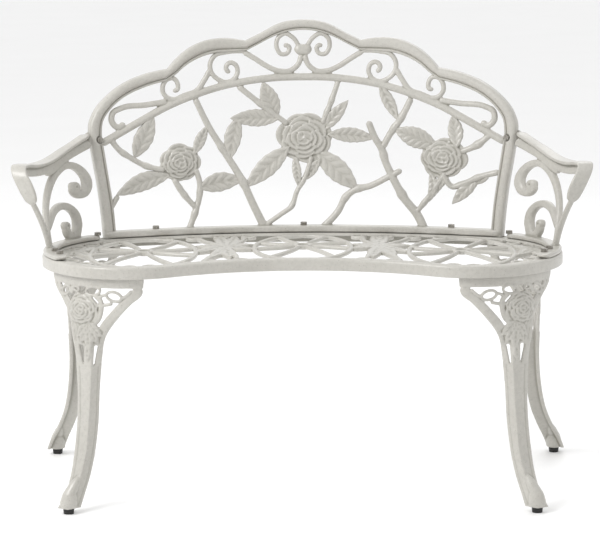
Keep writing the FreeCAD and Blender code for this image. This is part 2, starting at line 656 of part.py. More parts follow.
# Pierced work in the aprons: place along the apron from its ridge, height, width, height.
APRON_HOLES = [
    (-6, 379, 26, 8), (38, 376, 20, 12), (62, 381, 12, 7), (20, 365, 9, 8), (25, 339, 9, 32),
    (-42, 380, 10, 6), (-20, 366, 8, 12), (-17, 318, 6, 8), (-12, 272, 4, 13), (10, 274, 4, 13),
]


def leg_section(height, ridge, front, rear, inward, radii):
    """An angled wall: two flanges that meet at a ridge, closed all round. Each is bowed at
    least to the radius of the seat's edge above it."""
    wall = size("leg_wall")
    corner, ends = Vector(*ridge, height), [Vector(*front, height), Vector(*rear, height)]

    def flange(start, end, radius):
        chord = end - start
        square = Vector(-chord.y, chord.x, 0).normalize()
        if square.dot(inward) > 0:
            square = square * -1
        bow = max(size("flange_bow"), chord.Length / (4 * radius)) * chord.Length
        curve = Part.BezierCurve()
        curve.setPoles([start, (start + end) / 2 + square * bow, end])
        return curve.toShape(), square * -1

    outer = [flange(ends[0], corner, radii[0]), flange(corner, ends[1], radii[1])]
    inner_corner = corner + inward * wall * size("corner_wall")
    inner_ends = [end + square * wall for end, (edge, square) in zip(ends, outer)]
    inner = [flange(inner_ends[1], inner_corner, radii[1] - wall)[0],
             flange(inner_corner, inner_ends[0], radii[0] - wall)[0]]
    return Part.Wire([outer[0][0], outer[1][0], Part.makeLine(ends[1], inner_ends[1]),
                      inner[0], inner[1], Part.makeLine(inner_ends[0], ends[0])])


def build_leg(rows, foot, screws, inward, towards, radii, nuts):
    """One leg. Its pierced work is laid out from the ridge, towards the wider flange."""
    inward = Vector(*inward, 0).normalize()
    sections = [leg_section(*row, inward, radii) for row in rows]
    leg = Part.makeLoft(sections, True, False)
    along = Vector(inward.y, -inward.x, 0) * towards
    ridge = Vector(*rows[4][1], 0)
    holes = []
    for place, height, wide, high in APRON_HOLES:
        outline = Part.Face(Part.Wire(Part.Ellipse(
            Vector(0, 0, 0), max(wide, high) / 2, min(wide, high) / 2).toShape()))
        if high > wide:
            outline.rotate(Vector(0, 0, 0), UP, 90)
        outline.rotate(Vector(0, 0, 0), Vector(1, 0, 0), 90)
        outline.rotate(Vector(0, 0, 0), UP, math.degrees(math.atan2(along.y, along.x)))
        outline.translate(ridge + along * place + UP * height - inward * 60)
        holes.append(outline.extrude(inward * 120))
    ear_top = size("seat_top") - size("rim_plate") - size("seat_boss_height")
    ear_low = ear_top - size("ear_thick")
    gap = size("relief_gap")
    holes += [rod(place + UP * ear_top, UP, 2 * (size("seat_boss_radius") + gap), 0, 20)
              for place in screws]
    holes += [rod(place + UP * ear_low, UP, size("washer_diameter") + 2 * gap, -20, 0)
              for place in screws]
    holes += [rod(place + UP * ear_low, UP, size("washer_diameter") + 2 * gap, -20, 20)
              for place in nuts]
    leg = leg.cut(holes)
    bottom = size("leg_bottom")
    boss = rod(foot + UP * bottom, UP, 2 * size("toe_boss_radius"), 0, size("toe_boss_height"))
    ears = []
    for place in screws:
        out = (place - side_centre).normalize() if place.y > -160 else (
            place - lobe_centre).normalize()
        across = Vector(-out.y, out.x, 0)
        half, inner = size("ear_half"), size("ear_inner")
        corners = [place + out * half + across * half, place - out * inner + across * half,
                   place - out * inner - across * half, place + out * half - across * half]
        face = Part.Face(Part.makePolygon(corners + corners[:1]))
        ears.append(slab(face, ear_low, ear_top))
    leg = leg.multiFuse([boss] + ears)
    stud_hole = rod(foot, UP, size("stud_diameter") + 2 * size("stud_clearance"), 0,
                    size("stud_top") + 1)
    cuts = [stud_hole] + [rod(place, UP, size("bolt_hole"), 380, 412) for place in screws]
    return leg.cut(cuts)


# ---------------------------------------------------------------- hardware, bound to the sheet
def bound(kind, name, **expressions):
    """A Part primitive whose properties follow the sheet."""
    item = doc.addObject(kind, name)
    for prop, expression in expressions.items():
        item.setExpression(prop.replace("__", "."), expression)
    return item


def combined(kind, name, base, tool):
    item = doc.addObject(kind, name)
    item.Base, item.Tool = base, tool
    return item


def hexagon(name, height):
    prism = bound("Part::Prism", name, Circumradius="sizes.bolt_head_across / sqrt(3)",
                  Height=height)
    prism.Polygon = 6
    return prism


def bolt(name, length):
    """Hexagon bolt, its head standing on Z = 0 and its shank hanging below."""
    head = hexagon(name + "_head", "sizes.bolt_head_height")
    shank = bound("Part::Cylinder", name + "_shank", Radius="sizes.bolt_diameter / 2",
                  Height=length, Placement__Base__z=f"-({length})")
    return combined("Part::Fuse", name, head, shank)


NUT_STACK = "2 * sizes.washer_thick + sizes.nut_height + sizes.bolt_tail"
rail_bolt = bolt("rail_bolt", f"sizes.rail_height + sizes.rim_plate + {NUT_STACK}")
arm_bolt = bolt("arm_bolt", f"sizes.arm_base_thick + sizes.rim_plate + {NUT_STACK}")
post_bolt = bolt("post_bolt", f"2 * sizes.post_seat + sizes.arm_lug - sizes.washer_thick"
                              f" + {NUT_STACK}")
leg_screw = bolt("leg_screw", "sizes.washer_thick + sizes.ear_thick + sizes.seat_boss_height + 3")
washer = combined(
    "Part::Cut", "washer",
    bound("Part::Cylinder", "washer_disc", Radius="sizes.washer_diameter / 2",
          Height="sizes.washer_thick"),
    bound("Part::Cylinder", "washer_bore", Radius="sizes.bolt_hole / 2 - 0.1",
          Height="sizes.washer_thick"))
nut = combined(
    "Part::Cut", "nut", hexagon("nut_body", "sizes.nut_height"),
    bound("Part::Cylinder", "nut_bore",
          Radius="sizes.bolt_diameter / 2 + sizes.thread_clearance", Height="sizes.nut_height"))


def revolved_pad():
    """The nylon pad: a slightly tapered disc with a blind seat for the stud."""
    body = doc.addObject("PartDesign::Body", "pad_body")
    plane = next(item for item in body.Origin.OriginFeatures if item.Role == "XZ_Plane")
    sketch = body.newObject("Sketcher::SketchObject", "pad_profile")
    sketch.AttachmentSupport = [(plane, "")]
    sketch.MapMode = "FlatFace"
    corners = [("0", "0"), ("pad_foot_radius", "0"), ("pad_radius", "pad_height"),
               ("stud_bore", "pad_height"), ("stud_bore", "stud_seat"), ("0", "stud_seat")]
    values = {"0": 0.0, "stud_bore": size("stud_diameter") / 2 + size("thread_clearance")}
    points = [Vector(*(values[name] if name in values else size(name)
                       for name in corner), 0) for corner in corners]
    for index, start in enumerate(points):
        sketch.addGeometry(Part.LineSegment(start, points[(index + 1) % len(points)]), False)
    for index in range(len(points)):
        sketch.addConstraint(Sketcher.Constraint("Coincident", index, 2,
                                                 (index + 1) % len(points), 1))
    for index, corner in enumerate(corners):
        for kind, name in zip(("DistanceX", "DistanceY"), corner):
            place = sketch.addConstraint(Sketcher.Constraint(
                kind, -1, 1, index, 1, points[index].x if kind == "DistanceX" else points[index].y))
            if name == "stud_bore":
                sketch.setExpression(f"Constraints[{place}]",
                                     "sizes.stud_diameter / 2 + sizes.thread_clearance")
            elif name != "0":
                sketch.setExpression(f"Constraints[{place}]", f"sizes.{name}")
    turn = body.newObject("PartDesign::Revolution", "pad_turned")
    turn.Profile = sketch
    turn.ReferenceAxis = (sketch, ["V_Axis"])
    turn.Angle = 360
    return body


pad_body = revolved_pad()
stud = bound("Part::Cylinder", "stud", Radius="sizes.stud_diameter / 2",
             Height="sizes.stud_top - sizes.stud_seat", Placement__Base__z="sizes.stud_seat")
doc.recompute()


# ---------------------------------------------------------------- nodes
nodes = {}


def node(name, shape):
    """One named sub-part of the bench."""
    item = doc.addObject("Part::Feature", name)
    item.Label = name
    item.Shape = shape
    nodes[name] = item


def placed(item, at, axis=UP):
    """A copy of a piece of hardware at a point, its own +Z turned along axis."""
    shape = item.Shape.copy()
    turn = Rotation(UP, axis)
    shape.Placement = Placement(at, turn).multiply(shape.Placement)
    return shape


def stack_names(prefix):
    return prefix + "_bolts", prefix + "_washers", prefix + "_nuts"


def through_bolts(prefix, item, places, head_seat, nut_seat):
    """Bolts dropped in from above, each with two washers and a nut below."""
    bolts, washers, nuts = stack_names(prefix)
    thick, high = size("washer_thick"), size("nut_height")
    node(bolts, Part.makeCompound(
        [placed(item, Vector(at.x, at.y, head_seat + thick)) for at in places]))
    node(washers, Part.makeCompound(
        [placed(washer, Vector(at.x, at.y, z)) for at in places
         for z in (head_seat, nut_seat - thick)]))
    node(nuts, Part.makeCompound(
        [placed(nut, Vector(at.x, at.y, nut_seat - thick - high)) for at in places]))


def flipped(places):
    return [Vector(-place.x, place.y, place.z) for place in places]


node("seat_panel", build_seat())
node("backrest", build_backrest())
arm = build_arm()
side_bow = size("side_radius") - size("apron_inset")
lobe_bow = size("lobe_radius") - size("apron_inset")
legs = {
    "front": build_leg(FRONT_LEG, FRONT_FOOT, leg_screw_places(False), (-0.2, 1), -1,
                       (side_bow, lobe_bow), arm_bolt_places()[:2]),
    "rear": build_leg(REAR_LEG, REAR_FOOT, leg_screw_places(True), (-0.75, -0.66), 1,
                      (side_bow, side_bow), arm_bolt_places()[2:]),
}
plate_under = size("seat_top") - size("rim_plate")
strip_top = size("seat_top") + size("arm_base_thick")
through_bolts("back_rail", rail_bolt, rail_bolt_places, size("seat_top") + size("rail_height"),
              plate_under)
for side_name, side in (("left", -1), ("right", 1)):
    node(f"arm_{side_name}", arm if side > 0 else mirrored(arm))
    places = arm_bolt_places()
    through_bolts(f"arm_{side_name}", arm_bolt, places if side > 0 else flipped(places),
                  strip_top, plate_under)
    at, normal = post_axis(side)
    seat = size("post_seat")
    lug_back = seat + size("arm_lug")
    node(f"arm_{side_name}_post_bolt", placed(post_bolt, at - normal * seat, normal * -1))
    node(f"arm_{side_name}_post_washer", placed(washer, at + normal * lug_back, normal))
    node(f"arm_{side_name}_post_nut",
         placed(nut, at + normal * (lug_back + size("washer_thick")), normal))
    for end_name, foot in (("front", FRONT_FOOT), ("rear", REAR_FOOT)):
        corner = f"{end_name}_{side_name}"
        leg = legs[end_name]
        node(f"leg_{corner}", leg if side > 0 else mirrored(leg))
        screws = leg_screw_places(end_name == "rear")
        screws = screws if side > 0 else flipped(screws)
        ear_under = plate_under - size("seat_boss_height") - size("ear_thick")
        low = ear_under - size("washer_thick")
        node(f"leg_{corner}_screws", Part.makeCompound(
            [placed(leg_screw, Vector(at.x, at.y, low), UP * -1) for at in screws]))
        node(f"leg_{corner}_washers", Part.makeCompound(
            [placed(washer, Vector(at.x, at.y, low)) for at in screws]))
        spot = Vector(side * foot.x, foot.y, 0)
        node(f"foot_pad_{corner}", placed(pad_body, spot))
        node(f"foot_stud_{corner}", placed(stud, spot))

doc.recompute()
for item in doc.Objects:
    if "Invalid" in item.State or "Error" in item.State:
        raise RuntimeError(f"{item.Name} did not rebuild: {item.State}")
for name, item in nodes.items():
    shape = item.Shape
    if shape.isNull() or not shape.isValid() or not shape.Solids:
        raise RuntimeError(f"{name} is not a sound solid")
    shape.exportStep(f"parts/{name}.step")
    box = shape.optimalBoundingBox()
    print(name, len(shape.Solids), "solid(s)", round(shape.Volume / 1000, 1), "cm3",
          [round(value, 1) for value in (box.XMin, box.YMin, box.ZMin, box.XMax, box.YMax,
                                         box.ZMax)])
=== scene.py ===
"""Cast garden bench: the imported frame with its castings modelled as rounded, fused iron work.

The castings are gathered from closed solids (bars, leaves, roses, loops) laid out in millimetres
on the bench's own surfaces, then fused into one skin each. Everything else is the CAD's own.
"""
import math

import bpy
import numpy as np
from mathutils import Matrix, Vector


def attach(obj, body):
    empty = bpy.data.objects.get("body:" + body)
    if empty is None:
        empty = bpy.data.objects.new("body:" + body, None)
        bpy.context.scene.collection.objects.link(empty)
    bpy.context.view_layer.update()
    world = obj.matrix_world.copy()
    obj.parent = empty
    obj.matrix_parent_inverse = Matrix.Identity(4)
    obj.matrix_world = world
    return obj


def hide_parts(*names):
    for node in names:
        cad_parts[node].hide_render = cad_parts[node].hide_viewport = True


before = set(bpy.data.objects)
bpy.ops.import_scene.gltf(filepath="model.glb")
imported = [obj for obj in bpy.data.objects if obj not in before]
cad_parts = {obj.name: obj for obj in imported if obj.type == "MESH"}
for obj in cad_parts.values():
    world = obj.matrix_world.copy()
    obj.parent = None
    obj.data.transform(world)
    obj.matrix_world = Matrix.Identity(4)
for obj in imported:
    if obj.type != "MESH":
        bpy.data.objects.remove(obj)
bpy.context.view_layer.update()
MM = 0.001
SMOOTH_ANGLE = math.radians(38)
TRIANGLE_LIMIT = 196_000
STRAND_STEP, ARMREST_STEP, LEG_STEP, FRAME_STEP = 2.2, 2.5, 3.0, 1.0
KNOT_LENGTH, KNOT_DEPTH = 7.0, 0.6
LEAF_GRID, ROSE_GRID = (46, 27), (56, 144)

# ---------------------------------------------------------------- places shared with the CAD
SEAT_TOP, SEAT_MIDDLE_DEPTH = 420.0, 6.5
RIM_WIDTH = 28.0
SIDE_CENTRE, SIDE_RADIUS = np.array([248.0, -63.0]), 200.0
LOBE_RADIUS, LOBE_TURN = 128.0, -54.3
BACK_MIDDLE, FRONT_MIDDLE = 177.0, -161.0
BACK_RADIUS, BACK_Y, BACK_LEAN = 900.0, 165.0, 0.19
ARM_FOOT_RADIUS, ARM_TOP_RADIUS, ARM_LEAN_HEIGHT = 187.0, 612.0, 165.0
ARM_TOP_CENTRE = np.array([-97.0, -276.0])
ARM_FOOT_TURN, ARM_FOOT_SWEEP = 47.0, 67.0
ARM_TOP_TURN, ARM_TOP_SWEEP = 40.3, 22.8
ARM_SEARCH, ARM_HALVINGS = (-0.6, 1.6), 26
POST_BOLT_X, POST_BOLT_Z = 366.0, 595.0
FRONT_FOOT, REAR_FOOT = (394.0, -235.0), (461.0, 200.0)
LEG_BOTTOM = 9.3
LEG_WALL = 5.0


def turned(degrees):
    turn = np.radians(degrees)
    return np.stack([np.cos(turn), np.sin(turn)], -1)


LOBE_CENTRE = SIDE_CENTRE + (SIDE_RADIUS - LOBE_RADIUS) * turned(LOBE_TURN)


def tangent_arc(centre, radius, middle, around):
    """Centre and radius of the arc through (0, middle), centred on the bench's middle plane,
    that touches a circle, going around it or lying beside it."""
    gap = centre[1] - middle
    square = centre[0] ** 2 + gap ** 2 - radius ** 2
    big = square / (-2 * (gap + radius)) if around else square / (2 * (radius - gap))
    return np.array([0.0, middle - big]), big


RIM_BACK_CENTRE, RIM_BACK_RADIUS = tangent_arc(SIDE_CENTRE, SIDE_RADIUS, BACK_MIDDLE, True)
RIM_FRONT_CENTRE, RIM_FRONT_RADIUS = tangent_arc(LOBE_CENTRE, LOBE_RADIUS, FRONT_MIDDLE, False)
BACK_TURN = math.degrees(math.atan2(*(SIDE_CENTRE - RIM_BACK_CENTRE)[::-1]))
FRONT_TURN = math.degrees(math.atan2(*(RIM_FRONT_CENTRE - LOBE_CENTRE)[::-1]))


def rim_place(kind, degrees, inset):
    """Point of the seat's outline, moved inwards: on its side, lobe, back or front arc."""
    centre, radius = {
        "side": (SIDE_CENTRE, SIDE_RADIUS - inset), "lobe": (LOBE_CENTRE, LOBE_RADIUS - inset),
        "back": (RIM_BACK_CENTRE, RIM_BACK_RADIUS - inset),
        "front": (RIM_FRONT_CENTRE, RIM_FRONT_RADIUS + inset)}[kind]
    return centre + radius * turned(degrees)


# ---------------------------------------------------------------- smooth lines
def smooth_line(points, step, closed=False):
    """A smooth line through points in any number of dimensions, evenly sampled."""
    known = np.array(points, float)
    if closed:
        known = np.concatenate([known[-2:], known, known[:3]])
    chord = np.maximum(np.linalg.norm(np.diff(known, axis=0), axis=1), 1e-6)
    knots = np.concatenate([[0], np.cumsum(chord)])
    slope = np.diff(known, axis=0) / chord[:, None]
    tangent = np.empty_like(known)
    if len(known) > 2:
        weigh = (chord[1:] / (chord[:-1] + chord[1:]))[:, None]
        tangent[1:-1] = slope[:-1] * weigh + slope[1:] * (1 - weigh)
        tangent[0] = 1.5 * slope[0] - 0.5 * tangent[1]
        tangent[-1] = 1.5 * slope[-1] - 0.5 * tangent[-2]
    else:
        tangent[:] = slope[0]
    low, high = (knots[2], knots[-3]) if closed else (0.0, knots[-1])
    count = max(int((high - low) / step), 6)
    at = np.linspace(low, high, count + 1)[:-1] if closed else np.linspace(low, high, count + 1)
    piece = np.clip(np.searchsorted(knots, at, side="right") - 1, 0, len(chord) - 1)
    wide = chord[piece][:, None]
    t = (at - knots[piece])[:, None] / wide
    return ((2 * t ** 3 - 3 * t ** 2 + 1) * known[piece] + (t ** 3 - 2 * t ** 2 + t) * wide
            * tangent[piece] + (3 * t ** 2 - 2 * t ** 3) * known[piece + 1]
            + (t ** 3 - t ** 2) * wide * tangent[piece + 1])


def flipped_points(points):
    return [(-x, y) for x, y in points]


def whole_line(half, middle):
    """A symmetrical line, from its left half and its middle point."""
    return half + [middle] + flipped_points(half[::-1])


def run_along(line):
    """Distance along a line at each of its points."""
    return np.concatenate([[0], np.cumsum(np.linalg.norm(np.diff(line, axis=0), axis=1))])


def unit(vectors):
    return vectors / np.maximum(np.linalg.norm(vectors, axis=-1, keepdims=True), 1e-9)


def oval(count, power):
    """Section of a bar, between a circle (2) and a box with rounded corners (6)."""
    turn = np.arange(count) * 2 * math.pi / count
    across, out = np.cos(turn), np.sin(turn)
    bend = 2 / power
    return np.sign(across) * np.abs(across) ** bend, np.sign(out) * np.abs(out) ** bend


def grid_faces(rows, columns, wrap_rows=False, wrap_columns=False):
    """Quads between the points of a grid, with its last row or column joined to its first."""
    row = np.arange(rows if wrap_rows else rows - 1)
    column = np.arange(columns if wrap_columns else columns - 1)
    i, j = np.meshgrid(row, column, indexing="ij")
    next_i, next_j = (i + 1) % rows, (j + 1) % columns
    quads = np.stack([i * columns + j, i * columns + next_j, next_i * columns + next_j,
                      next_i * columns + j], -1)
    return quads.reshape(-1, 4)


# ---------------------------------------------------------------- surfaces the castings lie on
def flat_seat(u, v, w):
    """The seat's openwork: plan coordinates, w upwards from the middle of its thickness."""
    return np.stack([u, v, SEAT_TOP - SEAT_MIDDLE_DEPTH + w], -1)


def plan(height):
    """A level surface at one height: plan coordinates, w upwards."""
    return lambda u, v, w: np.stack([u, v, height + w], -1)


def on_back(u, v, w):
    """The backrest: across and up in the front view, w towards the sitter."""
    reach = np.sqrt(BACK_RADIUS ** 2 - u ** 2)
    middle = BACK_Y + BACK_LEAN * (v - SEAT_TOP) - BACK_RADIUS + reach
    return np.stack([u * (1 - w / BACK_RADIUS), middle - w * reach / BACK_RADIUS, v], -1)


def arm_place(along, height, out):
    """The right arm's leaning surface: along it from the post (0) to the front (1)."""
    low = SIDE_CENTRE + (ARM_FOOT_RADIUS + out)[..., None] * turned(
        ARM_FOOT_TURN - ARM_FOOT_SWEEP * along)
    high = ARM_TOP_CENTRE + (ARM_TOP_RADIUS + out)[..., None] * turned(
        ARM_TOP_TURN - ARM_TOP_SWEEP * along)
    rise = ((height - SEAT_TOP) / ARM_LEAN_HEIGHT)[..., None]
    flat = low + (high - low) * rise
    return np.stack([flat[..., 0], flat[..., 1], height], -1)


def on_arm(u, v, w):
    """The right arm: across (u, towards the back) and up in the side view, w outwards."""
    low, high = (np.full_like(u, end) for end in ARM_SEARCH)
    for _ in range(ARM_HALVINGS):
        middle = (low + high) / 2
        behind = arm_place(middle, v, w)[..., 1] > u
        low, high = np.where(behind, middle, low), np.where(behind, high, middle)
    return arm_place(low, v, w)


# Each row, at the heights in turn: the angled leg's ridge, outer edge and inner edge in plan.
LEG_HEIGHTS = (414, 388, 374, 357, 335, 300, 260, 200, 150, 100, 60, 30, 9.3)
FRONT_LEG = [
    (353, -224, 421, -146, 261, -238), (353, -224, 421, -146, 262, -238),
    (353, -223, 415, -156, 264, -239), (353, -222, 403, -176, 283, -240),
    (353, -221, 392, -190, 304, -239), (353, -220, 386, -196, 327, -222),
    (353, -217, 381, -196, 335, -204), (356, -212, 379, -193, 342, -193),
    (360, -211, 381, -192, 345, -191), (365, -215, 386, -198, 351, -196),
    (374, -226, 392, -209, 359, -206), (384, -239, 401, -223, 368, -219),
    (394, -251, 413, -237, 374, -232),
]
REAR_LEG = [
    (393, 63, 428, 3, 332, 110), (393, 63, 428, 3, 333, 110), (395, 65, 426, 9, 339, 107),
    (397, 68, 423, 22, 353, 99), (402, 74, 420, 36, 368, 92), (411, 84, 421, 54, 385, 93),
    (417, 94, 421, 67, 393, 99), (421, 108, 421, 83, 397, 111), (426, 124, 426, 99, 402, 126),
    (437, 148, 437, 123, 412, 150), (452, 173, 454, 148, 427, 174),
    (466, 197, 470, 171, 441, 198), (475, 214, 478, 188, 449, 215),
]
# Where each begins in a row that has its height in front.
RIDGE, OUTER, INNER = 1, 3, 5
RIDGE_ROUNDING, RIDGE_BLEND, LEAST_BOW = 14.0, 0.65, 0.10


class LegSurface:
    """The outside of one right-hand leg: distance from its ridge, and height."""

    def __init__(self, rows, inward, radii):
        self.radii = radii
        flat = [[z, *row] for z, row in zip(LEG_HEIGHTS, rows)]
        self.table = smooth_line(flat[::-1], LEG_STEP)
        self.inward = unit(np.array(inward, float))

    def column(self, height, index):
        return np.stack([np.interp(height, self.table[:, 0], self.table[:, index + k])
                         for k in (0, 1)], -1)

    def length(self, height, side):
        """Width of one flange at a height: side 1 towards the bench's middle, -1 away."""
        height = np.asarray(height, float)
        end = self.column(height, INNER if side > 0 else OUTER)
        return np.linalg.norm(end - self.column(height, RIDGE), axis=-1)

    def __call__(self, u, v, w):
        ridge = self.column(v, RIDGE)
        end = np.where((u > 0)[..., None], self.column(v, INNER), self.column(v, OUTER))
        chord = end - ridge
        long = np.linalg.norm(chord, axis=-1)
        share = np.clip(np.abs(u) / long, 0, 1.0)
        square = unit(np.stack([-chord[..., 1], chord[..., 0]], -1))
        square *= np.where((square @ self.inward) > 0, -1.0, 1.0)[..., None]
        radius = np.where(u > 0, self.radii[1], self.radii[0])
        bow = np.maximum(LEAST_BOW, long / (4 * radius)) * long
        bow = (2 * share * (1 - share) * bow)[..., None]
        turn = np.clip(np.abs(u) / RIDGE_ROUNDING, 0, 1)[..., None]
        normal = unit(square * (1 - RIDGE_BLEND + RIDGE_BLEND * turn)
                      - self.inward * (RIDGE_BLEND - RIDGE_BLEND * turn))
        flat = ridge + chord * share[..., None] + square * bow + normal * w[..., None]
        return np.stack([flat[..., 0], flat[..., 1], v], -1)


# ---------------------------------------------------------------- castings
class Casting:
    """Closed solids laid out on one surface, to be fused into one skin."""

    def __init__(self, place):
        self.place = place
        self.points, self.faces, self.caps, self.count = [], [], [], 0

    def add(self, points, quads, caps=()):
        self.points.append(points)
        self.faces.append(quads + self.count)
        self.caps += [[index + self.count for index in cap] for cap in caps]
        self.count += len(points)

    def add_rings(self, rings, closed=False):
        """Rows of section points joined up, capped at both ends unless the rows close."""
        rows, sides = rings.shape[:2]
        caps = [] if closed else [list(range(sides)),
                                  list(range(rows * sides - 1, (rows - 1) * sides - 1, -1))]
        self.add(rings.reshape(-1, 3), grid_faces(rows, sides, closed, True), caps)

    def both_sides(self, u, v, front, back):
        return np.concatenate([self.place(u, v, w).reshape(-1, 3) for w in (front, back)])

    def take(self, other):
        """The solids of a casting laid out on another surface."""
        self.add(np.concatenate(other.points), np.concatenate(other.faces), other.caps)

    def strand(self, points, width, end_width=None, depth=12.0, power=2.5, lift=0.0, knots=(),
               closed=False, sides=16, ridge=0.0):
        """A bar along a smooth line, with rounded ends; each knot is (place, swell)."""
        line = smooth_line(points, STRAND_STEP, closed)
        heading = unit(np.roll(line, -1, 0) - np.roll(line, 1, 0) if closed
                       else np.gradient(line, axis=0))
        side = np.stack([-heading[:, 1], heading[:, 0]], -1)
        run = run_along(line)
        last = width if end_width is None else end_width
        half = (width + (last - width) * run / run[-1]) / 2
        deep = np.full_like(half, depth / 2)
        for place, swell in knots:
            bump = 1 + swell * np.exp(-((run - place * run[-1]) / KNOT_LENGTH) ** 2)
            half, deep = half * bump, deep * (1 + (bump - 1) * KNOT_DEPTH)
        if not closed:
            near = np.clip(np.minimum(run, run[-1] - run) / np.maximum(half, 1), 0, 1)
            cap = np.sqrt(np.maximum(1 - (1 - near) ** 2, 0.05))
            half, deep = half * cap, deep * cap
        across, out = oval(sides, power)
        out = out + ridge * np.maximum(0, 1 - np.abs(across) * 2.5) * (out > 0)
        u = line[:, :1] + side[:, :1] * half[:, None] * across
        v = line[:, 1:] + side[:, 1:] * half[:, None] * across
        self.add_rings(self.place(u, v, lift + deep[:, None] * out), closed)

    def loop(self, centre, wide, high, width, depth=8.0, tilt=0.0, lift=0.0, power=2.3):
        """An oval ring bar, measured over its outside."""
        turn = np.arange(12) * math.pi / 6
        across, up = (wide - width) / 2 * np.cos(turn), (high - width) / 2 * np.sin(turn)
        lean = math.radians(tilt)
        self.strand(np.stack([centre[0] + across * math.cos(lean) - up * math.sin(lean),
                              centre[1] + across * math.sin(lean) + up * math.cos(lean)], -1),
                    width, depth=depth, closed=True, lift=lift, power=power)

    def leaf(self, base, tip, width, bow=0.0, depth=8.0, lift=0.0, veins=5, curl=0.0, relief=1.0):
        """A pointed leaf with a sunk midrib and slanting veins, curling along its length."""
        base, tip = np.array(base, float), np.array(tip, float)
        long = np.linalg.norm(tip - base)
        heading = (tip - base) / long
        side = np.array([-heading[1], heading[0]])
        s, t = np.meshgrid(np.linspace(0, 1, LEAF_GRID[0]), np.linspace(-1, 1, LEAF_GRID[1]),
                           indexing="ij")
        half = width / 2 * np.sin(math.pi * np.clip(s, 0.004, 0.996) ** 0.92) ** 0.82
        wave = 1 + 0.035 * np.sin(veins * 2 * math.pi * s + np.sign(t)) * np.abs(t)
        middle = bow * np.sin(math.pi * s)
        across = middle + t * half * wave
        u = base[0] + heading[0] * s * long + side[0] * across
        v = base[1] + heading[1] * s * long + side[1] * across
        away = np.abs(t)
        pillow = 1.7 * (4 * away * (1 - away) + 0.35 * away) ** 0.7
        slant = np.cos(2 * math.pi * (veins * s - 1.1 * away ** 0.8))
        rib = 1.5 * np.clip(slant, -1, 1) ** 3 * np.sin(math.pi * away) ** 0.7
        midrib = 0.9 * np.exp(-(t / 0.07) ** 2)
        fade = np.sin(math.pi * s) ** 0.35
        bend = curl * (np.sin(math.pi * (s - 0.15)) - 0.3)
        front = lift + bend + depth / 2 - 1.6 + relief * fade * (pillow + 0.55 * rib + midrib)
        back = lift + bend - depth / 2 + 0.8 * fade * (1 - away)
        front = np.where(away > 0.999, lift + bend + depth / 2 - 2.2, front)
        self.add(self.both_sides(u, v, front, back), closed_sheet(*s.shape))

    def rose(self, centre, wide, high, depth=18.0, lift=0.0, rings=(7, 6, 5, 4, 3), start=0.0):
        """A full-blown rose: rings of cupped petals, each lapping its neighbour."""
        steps, spokes = ROSE_GRID
        r, turn = np.meshgrid(np.linspace(0.0, 1, steps), np.arange(spokes) * 2 * math.pi / spokes,
                              indexing="ij")
        petals = []
        for ring, number in enumerate(rings):
            share = ring / len(rings)
            for petal in range(number):
                facing = math.radians(start) + 2 * math.pi * (petal + 0.37 * ring) / number
                facing += 0.16 * math.sin(5.1 * petal + 2.3 * ring)
                away = (turn - facing + math.pi) % (2 * math.pi) - math.pi
                away = away / (1.36 * math.pi / number)
                reach = (1 - 0.88 * share) * (1 + 0.035 * math.sin(3.7 * petal + ring))
                edge = reach * (1 - (0.15 + 0.12 * share) * away ** 2)
                petals.append((share, away, np.where(np.abs(away) < 1, edge, 0)))
        outline = np.max([edge for share, _, edge in petals if share == 0], axis=0)
        at = r * outline
        low = lift - 0.12 * depth
        front = np.full_like(r, low)
        cup = 0.09 * depth
        for share, away, edge in petals:
            along = at / np.maximum(edge, 1e-6)
            level = low + depth * (0.10 + 0.40 * share ** 0.75)
            lip = np.clip(along, 0, 1) ** 4 * cup * 1.15 - 0.35 * cup
            height = level + lip + 0.42 * cup * away
            height = height - cup * np.clip((along - 0.93) / 0.07, 0, 1) ** 2 * 0.5
            front = np.where(along <= 1.0, np.maximum(front, height), front)
        front = front + 0.10 * depth * np.exp(-(at / 0.07) ** 2)
        front = np.where(r > 0.995, low, front)
        back = lift - depth / 2 + 0.25 * depth * r ** 4
        u = centre[0] + wide / 2 * at * np.cos(turn)
        v = centre[1] + high / 2 * at * np.sin(turn)
        front_faces = grid_faces(steps, spokes, False, True)
        back_faces = front_faces[:, ::-1] + steps * spokes
        outer = np.arange(spokes) + (steps - 1) * spokes
        wall = np.stack([outer, np.roll(outer, -1), np.roll(outer, -1) + steps * spokes,
                         outer + steps * spokes], -1)
        self.add(self.both_sides(u, v, front, back),
                 np.concatenate([front_faces, back_faces, wall]))

    def mesh(self, name, mirror=False):
        points = np.concatenate(self.points) * MM
        if mirror:
            points = points * np.array([-1.0, 1.0, 1.0])
        quads = np.concatenate(self.faces)
        data = bpy.data.meshes.new(name)
        data.from_pydata(points.tolist(), [], quads.tolist() + self.caps)
        data.validate()
        return data

    def piece(self, name, mirror=False):
        return link(name, self.mesh(name, mirror))


def closed_sheet(rows, columns):
    """Faces of two equal grids, front and back, closed round their edge."""
    front = grid_faces(rows, columns)
    back = front[:, ::-1] + rows * columns
    last = (rows - 1) * columns
    edge = np.concatenate([np.arange(columns), np.arange(1, rows) * columns + columns - 1,
                           np.arange(columns - 2, -1, -1) + last,
                           np.arange(rows - 2, 0, -1) * columns])
    after = np.roll(edge, -1)
    wall = np.stack([edge, edge + rows * columns, after + rows * columns, after], -1)
    return np.concatenate([front, back, wall])


def link(name, data):
    """A new object for some data, in the scene."""
    piece = bpy.data.objects.new(name, data)
    bpy.context.scene.collection.objects.link(piece)
    return piece


